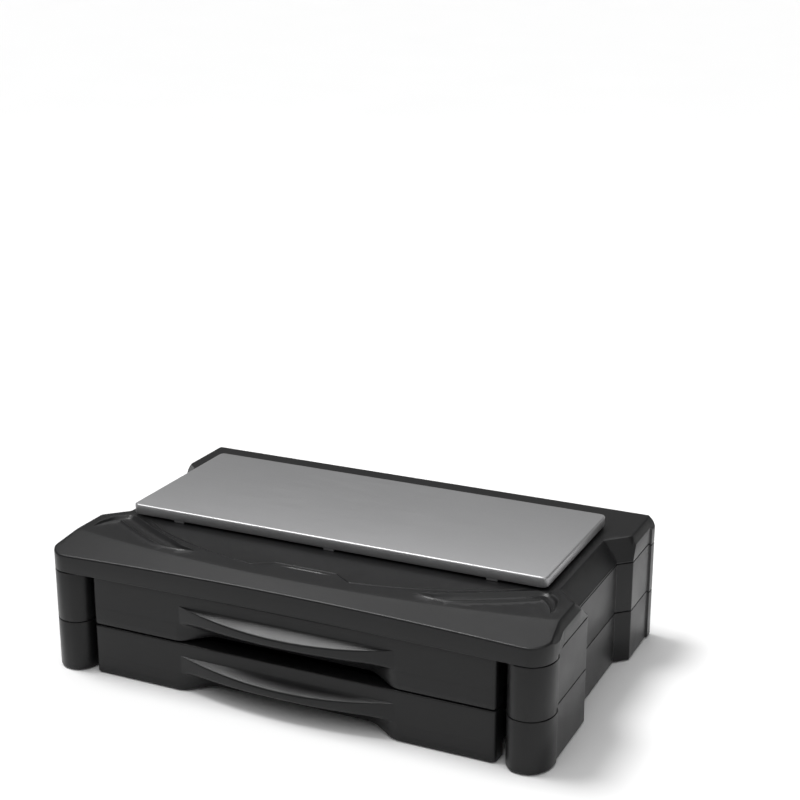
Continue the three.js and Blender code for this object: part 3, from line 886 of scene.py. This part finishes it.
class Recipe(Nodes):
    """A geometry tree with named inputs, which ends in Realize Instances and Set Material."""

    def __init__(self, name, sizes):
        self.tree = bpy.data.node_groups.new(name, "GeometryNodeTree")
        self.values = {}
        for key, value in (*sizes.items(), ("Material", None)):
            kind = {int: "Int", float: "Float", Vector: "Vector"}.get(type(value), "Material")
            made = self.socket(key, "INPUT", kind)
            self.values[made.identifier] = value
        self.socket("Geometry", "OUTPUT", "Geometry")
        self.given = self.tree.nodes.new("NodeGroupInput").outputs

    def socket(self, key, side, kind):
        return self.tree.interface.new_socket(key, in_out=side, socket_type=f"NodeSocket{kind}")

    def merge(self, *parts):
        """Parts in one geometry."""
        made = self.node("GeometryNodeJoinGeometry")
        for part in parts:
            self.tree.links.new(part, made.inputs[0])
        return made.outputs[0]

    def vector(self, x=0.0, y=0.0, z=0.0):
        return self.node("ShaderNodeCombineXYZ", {0: x, 1: y, 2: z}).outputs[0]

    def cuboid(self, size, place):
        return self.moved(self.cube(size), place)

    def cube(self, size):
        return self.node("GeometryNodeMeshCube", {"Size": size}).outputs["Mesh"]

    def moved(self, geometry, place):
        inputs = {"Geometry": geometry, "Translation": place}
        return self.node("GeometryNodeTransform", inputs).outputs[0]

    def pick(self, index, values):
        """The value at an index."""
        made = self.node("GeometryNodeIndexSwitch", data_type="FLOAT")
        while len(made.index_switch_items) < len(values):
            made.index_switch_items.new()
        for socket, value in zip(made.inputs, (index, *values)):
            self.join(value, socket)
        return made.outputs[0]

    def welded(self, geometry):
        inputs = {"Geometry": geometry, "Distance": 0.005 * MM}
        return self.node("GeometryNodeMergeByDistance", inputs).outputs[0]

    def turned(self, profile, sides=36):
        """A body of revolution from (radius, height) pairs, each a number or a socket."""
        rows = len(profile)
        inputs = {"Vertices X": sides + 1, "Vertices Y": rows}
        grid = self.node("GeometryNodeMeshGrid", inputs).outputs["Mesh"]
        index = self.node("GeometryNodeInputIndex").outputs[0]
        row = self.maths("MODULO", index, rows)
        column = self.maths("FLOOR", self.maths("DIVIDE", index, rows))
        angle = self.maths("MULTIPLY", column, math.tau / sides)
        radius = self.pick(row, [r for r, z in profile])
        x = self.maths("MULTIPLY", radius, self.maths("COSINE", angle))
        y = self.maths("MULTIPLY", radius, self.maths("SINE", angle))
        place = self.vector(x, y, self.pick(row, [z for r, z in profile]))
        inputs = {"Geometry": grid, "Position": place}
        return self.welded(self.node("GeometryNodeSetPosition", inputs).outputs[0])

    def copies(self, points, shape):
        inputs = {"Points": points, "Instance": shape}
        return self.node("GeometryNodeInstanceOnPoints", inputs).outputs[0]

    def row(self, count, start, step):
        inputs = {"Count": count, "Start Location": start, "Offset": step}
        return self.node("GeometryNodeMeshLine", inputs).outputs[0]

    def grow(self, geometry, name, slot, body, nodes, edge=0.0, sharp=32.0):
        """Bakes the tree's result, with its edges rounded where asked, and puts it on its body."""
        real = self.node("GeometryNodeRealizeInstances", {"Geometry": geometry}).outputs[0]
        inputs = {"Geometry": real, "Material": self.given["Material"]}
        coated = self.node("GeometryNodeSetMaterial", inputs)
        self.tree.links.new(coated.outputs[0], self.tree.nodes.new("NodeGroupOutput").inputs[0])
        host = bpy.data.objects.new(f"{name}_recipe", bpy.data.meshes.new(f"{name}_recipe"))
        bpy.context.scene.collection.objects.link(host)
        modifier = host.modifiers.new("Recipe", "NODES")
        modifier.node_group = self.tree
        for identifier, value in self.values.items():
            modifier[identifier] = MATERIALS[slot] if value is None else value
        if edge:
            bevel = host.modifiers.new("Edges", "BEVEL")
            bevel.width = edge
            bevel.segments = 4
            bevel.angle_limit = math.radians(50.0)
            bevel.use_clamp_overlap = False
        graph = bpy.context.evaluated_depsgraph_get()
        mesh = bpy.data.meshes.new_from_object(host.evaluated_get(graph))
        bpy.data.objects.remove(host)
        if not mesh.polygons:
            raise RuntimeError(f"{name} came out empty")
        mesh.name = name
        return finish_piece(mesh, name, slot, body, nodes, sharp)


def box_size(node):
    low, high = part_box(node)
    return high - low


def placed_on(node, share):
    """A point in a node's box, at a share of its size along each axis."""
    low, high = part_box(node)
    return Vector(a + (b - a) * k for a, b, k in zip(low, high, share))


def repeat(name, slot, body, nodes, shape, sizes, share=(0.5, 0.5, 0.0)):
    """One shape at the place of every node given."""
    places = {node: placed_on(node, share) for node in nodes}
    recipe = Recipe(name, {**sizes, **places})
    points = []
    for node in nodes:
        point = recipe.node("GeometryNodePoints", {"Position": recipe.given[node]})
        points.append(point.outputs[0])
    copies = recipe.copies(recipe.merge(*points), shape(recipe))
    recipe.grow(copies, name, slot, body, nodes)


def foot_shape(recipe):
    radius, height = recipe.given["Radius"], recipe.given["Height"]
    at = lambda inwards: recipe.maths("SUBTRACT", radius, inwards * MM)
    waist = recipe.maths("MULTIPLY", radius, 0.45)
    groove = recipe.maths("MULTIPLY", radius, 0.55)
    profile = [(0.0, 0.5 * MM), (waist, 0.5 * MM), (groove, 0.0)]
    profile += [(at(1.0), 0.0), (at(0.3), 0.3 * MM)]
    profile += [(radius, 1.0 * MM), (radius, height), (0.0, height)]
    return recipe.turned(profile)


def pad_shape(recipe):
    radius, hole, height = recipe.given["Radius"], recipe.given["Hole"], recipe.given["Height"]
    inside = recipe.maths("SUBTRACT", radius, 0.5 * MM)
    top = recipe.maths("SUBTRACT", height, 0.4 * MM)
    profile = [(hole, 0.0), (inside, 0.0), (radius, 0.4 * MM)]
    profile += [(radius, top), (inside, height), (hole, height)]
    return recipe.turned(profile + profile[:1])


def pin_shape(recipe):
    radius, height = recipe.given["Radius"], recipe.given["Height"]
    tip = recipe.maths("SUBTRACT", radius, 0.8 * MM)
    low_shoulder = 1.2 * MM
    high_shoulder = recipe.maths("SUBTRACT", height, low_shoulder)
    profile = [(0.0, 0.0), (tip, 0.0), (radius, low_shoulder)]
    profile += [(radius, high_shoulder), (tip, height), (0.0, height)]
    return recipe.turned(profile)


def screw_shape(recipe):
    """A slotted pan-head screw with its head at the bottom."""
    head, thick = recipe.given["Head radius"], recipe.given["Head height"]
    shank, length = recipe.given["Shank radius"], recipe.given["Length"]
    part = lambda value, share: recipe.maths("MULTIPLY", value, share)
    profile = [(0.0, 0.0), (part(head, 0.6), 0.0), (part(head, 0.85), part(thick, 0.12))]
    profile += [(part(head, 0.97), part(thick, 0.4)), (head, part(thick, 0.75))]
    profile += [(head, thick), (shank, thick)]
    profile += [(shank, part(length, 0.93)), (part(shank, 0.6), length), (0.0, length)]
    body = recipe.turned(profile)
    width = part(head, 2.4)
    cut = recipe.cuboid(recipe.vector(width, 1.0 * MM, part(thick, 0.7)), recipe.vector())
    inputs = {"Mesh 1": body, "Mesh 2": cut}
    return recipe.node("GeometryNodeMeshBoolean", inputs, operation="DIFFERENCE").outputs[0]


def lying_screw(recipe):
    """The same screw along Y, with its head at the back."""
    inputs = {"Geometry": screw_shape(recipe), "Rotation": (math.pi / 2, 0.0, 0.0)}
    return recipe.node("GeometryNodeTransform", inputs).outputs[0]


CORNERS = ("front_left", "front_right", "rear_left", "rear_right")


def build_fasteners():
    foot = box_size("foot_front_right")
    repeat("rubber_feet", "foot_rubber", STAND, [f"foot_{c}" for c in CORNERS], foot_shape,
           {"Radius": foot.x / 2, "Height": foot.z})
    pad = box_size("platform_pad_front_right")
    repeat("platform_pads", "foot_rubber", STAND, [f"platform_pad_{c}" for c in CORNERS], pad_shape,
           {"Radius": pad.x / 2, "Hole": 2.3 * MM, "Height": pad.z})
    pins = [f"{level}_stack_pin_{c}" for level in LEVELS for c in CORNERS]
    pin = box_size(pins[0])
    repeat("stack_pins", "inner_plastic", STAND, pins, pin_shape,
           {"Radius": pin.x / 2, "Height": pin.z})
    screw = box_size("platform_screw_front_right")
    sizes = {"Head height": 2.2 * MM, "Shank radius": 1.7 * MM}
    sizes.update({"Head radius": screw.x / 2, "Length": screw.z})
    screws = [f"platform_screw_{c}" for c in CORNERS]
    repeat("platform_screws", "screw_steel", STAND, screws, screw_shape, sizes)
    for level in LEVELS:
        screws = [f"{level}_drawer_screw_{side}" for side, _ in SIDES]
        screw = box_size(screws[0])
        sizes = {**sizes, "Head radius": screw.x / 2, "Length": screw.y}
        repeat(f"{level}_drawer_screws", "screw_steel", f"{level}_drawer", screws, lying_screw,
               sizes, (0.5, 1.0, 0.5))


RIB_THICKNESS = 2.0 * MM


def build_rear_wall(level, ribs):
    """A rear wall with upright ribs inside."""
    node = f"{level}_rear_wall"
    size = box_size(node)
    recipe = Recipe(node, {"Width": size.x, "Height": size.z, "Thickness": size.y, "Ribs": ribs,
                           "Centre": placed_on(node, (0.5, 0.5, 0.5))})
    given = recipe.given
    whole = recipe.vector(given["Width"], given["Thickness"], given["Height"])
    wall = recipe.cuboid(whole, given["Centre"])
    pitch = recipe.maths("DIVIDE", given["Width"], recipe.maths("ADD", given["Ribs"], 1.0))
    first = recipe.maths("SUBTRACT", pitch, recipe.maths("MULTIPLY", given["Width"], 0.5))
    start = recipe.vector(first, -size.y / 2 - 2.4 * MM, 0.0)
    places = recipe.row(given["Ribs"], start, recipe.vector(pitch))
    height = recipe.maths("SUBTRACT", given["Height"], 8.0 * MM)
    rib = recipe.cube(recipe.vector(RIB_THICKNESS, 5.0 * MM, height))
    panel = recipe.merge(wall, recipe.moved(recipe.copies(places, rib), given["Centre"]))
    recipe.grow(panel, f"{node}_panel", "body_plastic", STAND, [node], 0.45 * MM)


def build_deck_ribs():
    """The ribs across the underside of the deck."""
    back = REAR_Y * MM
    front = CREASE_Y * MM
    sizes = {"Count": 6, "Pitch": 50.0 * MM, "Length": back - front - 16 * MM, "Depth": 8.0 * MM}
    recipe = Recipe("deck_ribs", sizes)
    given = recipe.given
    first_x = recipe.maths("MULTIPLY", given["Pitch"], -2.5)
    start = recipe.vector(first_x, (front + back) / 2, (DECK_Z - 3.4 - 4) * MM)
    places = recipe.row(given["Count"], start, recipe.vector(given["Pitch"]))
    rib = recipe.cube(recipe.vector(RIB_THICKNESS, given["Length"], given["Depth"]))
    ribs = recipe.copies(places, rib)
    recipe.grow(ribs, "deck_ribs", "body_plastic", STAND, ["top_cover"], 0.4 * MM)


# ---- Platform ----


def build_platform(sizes):
    """The silver slab with rounded corners and edges, and the tabs under its long edges."""
    low, high = PLATE_LOW * MM, PLATE_HIGH * MM
    thickness = 9.0 * MM
    recipe = Recipe("platform_slab", {
        "Width": high.x - low.x,
        "Depth": high.y - low.y,
        "Thickness": thickness,
        "Corner radius": 5.0 * MM,
        "Place": Vector((0.0, (low.y + high.y) / 2, high.z - thickness)),
    })
    given = recipe.given
    inputs = {"Width": given["Width"], "Height": given["Depth"]}
    outline = recipe.node("GeometryNodeCurvePrimitiveQuadrilateral", inputs)
    inputs = {"Curve": outline.outputs[0], "Radius": given["Corner radius"], "Count": 10}
    turned = recipe.node("GeometryNodeFilletCurve", inputs, mode="POLY").outputs[0]
    base = recipe.node("GeometryNodeFillCurve", {"Curve": turned}, mode="NGONS").outputs[0]
    inputs = {"Mesh": base, "Offset Scale": given["Thickness"], "Individual": False}
    walls = recipe.node("GeometryNodeExtrudeMesh", inputs, mode="FACES").outputs["Mesh"]
    underside = recipe.node("GeometryNodeFlipFaces", {"Mesh": base}).outputs[0]
    closed = recipe.welded(recipe.merge(walls, underside))
    recipe.grow(recipe.moved(closed, given["Place"]), "platform_slab", "platform_silver", STAND,
                ["platform_plate"], sizes.plate_edge, 40.0)

    setback = 1.8 * MM
    recipe = Recipe("platform_tabs", {
        "Count": 3,
        "Pitch": 139.5 * MM,
        "Front Y": low.y + setback,
        "Rear Y": high.y - setback,
    })
    given = recipe.given
    start = recipe.maths("MULTIPLY", given["Pitch"], -1.0)
    step = recipe.vector(given["Pitch"])
    z = (DECK_Z + 1.1) * MM
    rows = []
    for y in ("Front Y", "Rear Y"):
        rows.append(recipe.row(given["Count"], recipe.vector(start, given[y], z), step))
    tabs = recipe.copies(recipe.merge(*rows), recipe.cube((9.0 * MM, 2.6 * MM, 2.0 * MM)))
    recipe.grow(tabs, "platform_tabs", "platform_silver", STAND, ["platform_plate"], 0.3 * MM)


# ---- Drawers ----

FRONT_HALF = LOWER_FRONT_HIGH.x + 1.0
FRONT_CORNER = 3.5
TRAY_HALF = 169.5
TRAY_WALL = 2.5
FLANGE_REACH = 177.0  # outer edges of the flanges that run on the rails
LIP_HALF = 93.0
LIP_REACH = 11.0
LIP_TOP = 31.3  # above the level's base, where the lip meets the face
LIP_FALL = 6.3
LIP_BOTTOM = 16.0
RECESS_HALF = 97.0
RECESS_INNER_HALF = 66.0
RECESS_DEPTH = 12.0
RECESS_BOTTOM = 4.5
FRONT_THICKNESS = 15.0


def arc(centre, radius, start, stop, steps):
    """Points on an arc, in (y, z), with angles in degrees."""
    points = []
    for k in range(steps + 1):
        angle = math.radians(start + (stop - start) * k / steps)
        points.append((centre[0] + radius * math.cos(angle), centre[1] + radius * math.sin(angle)))
    return points


def curve(a, b, c, steps):
    """Points on a quadratic curve from a to c, pulled towards b, without the first."""
    points = []
    for k in range(1, steps + 1):
        t = k / steps
        pull = 2 * t * (1 - t)
        points.append(tuple((1 - t) ** 2 * p + pull * q + t * t * r for p, q, r in zip(a, b, c)))
    return points


def front_profile(x, low, high, floor):
    """The drawer front's section at x: (y, z) from its top back edge round to its lower one."""
    past = max(0.0, abs(x) - (FRONT_HALF - FRONT_CORNER))
    setback = FRONT_CORNER - math.sqrt(max(0.0, FRONT_CORNER * FRONT_CORNER - past * past))
    face = FACE_Y + setback
    back = FACE_Y + FRONT_THICKNESS
    share = max(0.0, 1 - (x / LIP_HALF) ** 2)
    recess = 1 - smooth_step(RECESS_INNER_HALF, RECESS_HALF, abs(x))
    root = floor + LIP_TOP
    crest = (face - LIP_REACH * share, root - LIP_FALL * share)
    round_ = 1.3 * min(1.0, share * 5)
    edge = 1.1
    points = [(back, high)]
    points += arc((face + edge, high - edge), edge, 90, 180, 4)
    points.append((face, (high - edge + root + 1.5) / 2))
    points.append((face, root + 0.6))

    def slope(t):
        return (face - LIP_REACH * share * t, root - LIP_FALL * share * t)

    points += curve((face, root + 0.6), (face, root), slope(0.05), 2)
    points += [slope(t) for t in (0.3, 0.55, 0.8)]
    near = slope(1 - 0.12 * min(1.0, share * 5))
    points.append(near)
    points += curve(near, crest, (crest[0], crest[1] - round_ - 0.1), 5)
    under = floor + LIP_BOTTOM + 4.5
    foot = (face + RECESS_DEPTH * recess, low + (RECESS_BOTTOM - 1.0) * recess + 1.0)
    points += [(crest[0], (crest[1] + under) / 2), (crest[0], under)]
    knee = (crest[0] + (foot[0] - crest[0]) * 0.42, under - 4.4)
    points += curve((crest[0], under), (crest[0] + 0.4 * recess, under - 3.6), knee, 6)
    points += curve(knee, (foot[0] - 0.2, under - 5.6), foot, 6)
    points += [(foot[0] + 0.3, foot[1] - 0.7), (foot[0] + 1.0, foot[1] - 1.0)]
    points.append((back, foot[1] - 1.0))
    return points


def front_stations():
    """Places along X for the drawer front's sections, closer together where they change."""
    stations = []
    for angle in range(0, 91, 10):
        stations.append(FRONT_HALF - FRONT_CORNER * (1 - math.sin(math.radians(angle))))
    stations += [102.0 + k * 5.0 for k in range(13)]
    stations += [60.0 + k * 1.0 for k in range(41)]
    stations += [k * 3.0 for k in range(20)]
    positive = sorted(set(round(x, 4) for x in stations))
    return [-x for x in reversed(positive) if x > 0] + positive


def build_drawer_front(level_name, level):
    node = f"{level_name}_drawer_front"
    low, high = span(node)
    floor = level * LEVEL
    shell = Shell()
    rings = []
    for x in front_stations():
        rings.append([(x, y, z) for y, z in front_profile(x, low.z, high.z, floor)])
    shell.stack(rings, cap_start=True, cap_end=True)
    return shell.piece(f"{node}_moulding", "body_plastic", f"{level_name}_drawer", [node], 40.0)


def build_drawer_tray(level_name, level):
    node = f"{level_name}_drawer_tray"
    low, high = span(node)
    floor = level * LEVEL
    half, wall, turn = TRAY_HALF, TRAY_WALL, 4.0
    corners = [(-half, low.y), (half, low.y), (half, high.y), (-half, high.y)]
    outline = rounded([(x, y, turn) for x, y in corners], 20.0, 0.8)
    rings = [level_ring(inset(outline, i), low.z) for i in (3.6, 3.2, 2.6)]
    rings += [level_ring(inset(outline, i), low.z + d) for i, d in reversed(edge_steps(2.0, 4))]
    rings += [level_ring(inset(outline, i), high.z - d) for i, d in edge_steps(0.8, 3)]
    for i, d in reversed(edge_steps(0.8, 3)):
        rings.append(level_ring(inset(outline, wall - i), high.z - d))
    for i, d in edge_steps(1.6, 4):
        rings.append(level_ring(inset(outline, wall + i), low.z + wall + d))
    shell = Shell()
    shell.stack(rings, cap_start=True)
    shell.patch(inset(outline, wall + 1.6), lambda x, y: low.z + wall, 16.0)
    for side in (-1, 1):
        x0, x1 = sorted((side * (half - 1), side * FLANGE_REACH))
        shell.add(block(x0, x1, FLANGE_Y, high.y, floor + 31, floor + 33.5, 0.5))
        shell.add(block(x0, x1, high.y - STOP_DEPTH, high.y, floor + 33.2, floor + 36.5, 0.5))
    return shell.piece(f"{node}_moulding", "inner_plastic", f"{level_name}_drawer", [node])


# ---- Stage ----

CAMERA_PLACE = (0.5456, -1.0856, 0.5993)
CAMERA_YAW = math.radians(24.96)
CAMERA_PITCH = math.radians(17.33)
CAMERA_LENS = 71.6


def even_light(name, towards, strength, width):
    """A distant light of even strength, seen as a disc width degrees across."""
    data = bpy.data.lights.new(name, "SUN")
    data.energy = strength
    data.angle = math.radians(width)
    lamp = bpy.data.objects.new(name, data)
    lamp.rotation_mode = "QUATERNION"
    lamp.rotation_quaternion = (-Vector(towards)).to_track_quat("-Z", "Y")
    bpy.context.scene.collection.objects.link(lamp)


def area_light(name, place, aim, size, power):
    """A rectangular light that faces a point."""
    data = bpy.data.lights.new(name, "AREA")
    data.shape = "RECTANGLE"
    data.size, data.size_y = size
    data.energy = power
    lamp = bpy.data.objects.new(name, data)
    lamp.location = place
    lamp.rotation_mode = "QUATERNION"
    lamp.rotation_quaternion = (Vector(aim) - Vector(place)).to_track_quat("-Z", "Y")
    bpy.context.scene.collection.objects.link(lamp)


def make_stage(scene):
    half = 30.0
    mesh = bpy.data.meshes.new("studio_floor")
    corners = [(-half, -half, 0), (half, -half, 0), (half, half, 0), (-half, half, 0)]
    mesh.from_pydata(corners, [], [(0, 1, 2, 3)])
    mesh.materials.append(MATERIALS["floor"])
    floor = bpy.data.objects.new("studio_floor", mesh)
    scene.collection.objects.link(floor)

    world = bpy.data.worlds.new("Studio")
    world.use_nodes = True
    world.node_tree.nodes["Background"].inputs["Color"].default_value = (1.0, 1.0, 1.0, 1.0)
    world.node_tree.nodes["Background"].inputs["Strength"].default_value = 0.16
    scene.world = world
    scene.view_settings.view_transform = "Standard"

    even_light("left_dome", (-0.42, -0.01, 0.91), 2.2, 22.0)
    even_light("front_dome", (0.06, -0.34, 0.94), 1.35, 70.0)
    area_light("back_softbox", (-0.6, 1.4, 1.9), (0.0, 0.0, 0.1), (2.2, 0.9), 11.0)
    area_light("right_softbox", (1.9, -0.9, 0.75), (0.1, 0.0, 0.06), (0.8, 0.8), 3.2)

    data = bpy.data.cameras.new("camera")
    data.lens = CAMERA_LENS
    data.sensor_width = 36.0
    data.clip_end = 100.0
    camera = bpy.data.objects.new("camera", data)
    camera.location = CAMERA_PLACE
    camera.rotation_euler = (math.pi / 2 - CAMERA_PITCH, 0.0, CAMERA_YAW)
    scene.collection.objects.link(camera)
    scene.camera = camera


# ---- Steps, panel and registration ----


def build_drawers():
    for level, level_name in enumerate(LEVELS):
        build_drawer_front(level_name, level)
        build_drawer_tray(level_name, level)


def build_ribbed_walls(ribs):
    for level_name in LEVELS:
        build_rear_wall(level_name, ribs)
    build_deck_ribs()


def finish_kept_nodes():
    """Gives every node that stays as it is the material of its slot."""
    for part in frame["record"]["subparts"]:
        node = frame["nodes"][part["node"]]
        if node.hide_render:
            continue
        node.data.materials.clear()
        node.data.materials.append(MATERIALS[part["material_slot"]])


def step(name, label, description, build):
    """An operator that runs one step of the build, given the scene."""

    def execute(self, context):
        build(context.scene)
        return {"FINISHED"}

    members = {"bl_idname": f"riser.{name}", "bl_label": label, "bl_description": description}
    return type(f"RISER_OT_{name}", (bpy.types.Operator,), {**members, "execute": execute})


OPERATORS = (
    step("materials", "Make materials", "Makes the finish of every material slot",
         lambda scene: make_materials(scene.riser_stand_colours)),
    step("cover", "Build deck cover", "Builds the cover with its apron, scoops and column caps",
         lambda scene: build_cover(scene.riser_stand_sizes)),
    step("side_frames", "Build side frames", "Builds the four side frames",
         lambda scene: build_side_frames()),
    step("platform", "Build platform", "Builds the silver platform",
         lambda scene: build_platform(scene.riser_stand_sizes)),
    step("drawers", "Build drawers", "Builds each drawer's front with its lip handle, and its tray",
         lambda scene: build_drawers()),
    step("fasteners", "Grow fasteners and feet", "Grows the feet, pads, stack pins and screws",
         lambda scene: build_fasteners()),
    step("ribbed_walls", "Grow ribbed walls", "Grows the rear walls and the ribs under the deck",
         lambda scene: build_ribbed_walls(scene.riser_stand_sizes.rib_count)),
    step("kept_nodes", "Finish kept nodes", "Gives every node that stays its slot's material",
         lambda scene: finish_kept_nodes()),
    step("stage", "Make stage", "Makes the floor, the soft lights and the camera", make_stage),
)


class RISER_PT_panel(bpy.types.Panel):
    """Lists the steps that build the stand, and its sizes and colours"""

    bl_label = "Riser Stand"
    bl_idname = "RISER_PT_panel"
    bl_space_type = "VIEW_3D"
    bl_region_type = "UI"
    bl_category = "Riser Stand"

    def draw(self, context):
        column = self.layout.column()
        for operator in OPERATORS:
            column.operator(operator.bl_idname)
        for group in (context.scene.riser_stand_sizes, context.scene.riser_stand_colours):
            for name in group.__annotations__:
                column.prop(group, name)


CLASSES = (RiserStandSizes, RiserStandColours, *OPERATORS, RISER_PT_panel)


def register():
    for cls in CLASSES:
        bpy.utils.register_class(cls)
    bpy.types.Scene.riser_stand_sizes = PointerProperty(type=RiserStandSizes)
    bpy.types.Scene.riser_stand_colours = PointerProperty(type=RiserStandColours)


def unregister():
    del bpy.types.Scene.riser_stand_sizes
    del bpy.types.Scene.riser_stand_colours
    for cls in reversed(CLASSES):
        bpy.utils.unregister_class(cls)


def main():
    register()
    bpy.ops.riser.materials()
    bpy.ops.riser.cover()
    bpy.ops.riser.side_frames()
    bpy.ops.riser.platform()
    bpy.ops.riser.drawers()
    bpy.ops.riser.fasteners()
    bpy.ops.riser.ribbed_walls()
    bpy.ops.riser.kept_nodes()
    bpy.ops.riser.stage()


if __name__ == "__main__":
    main()
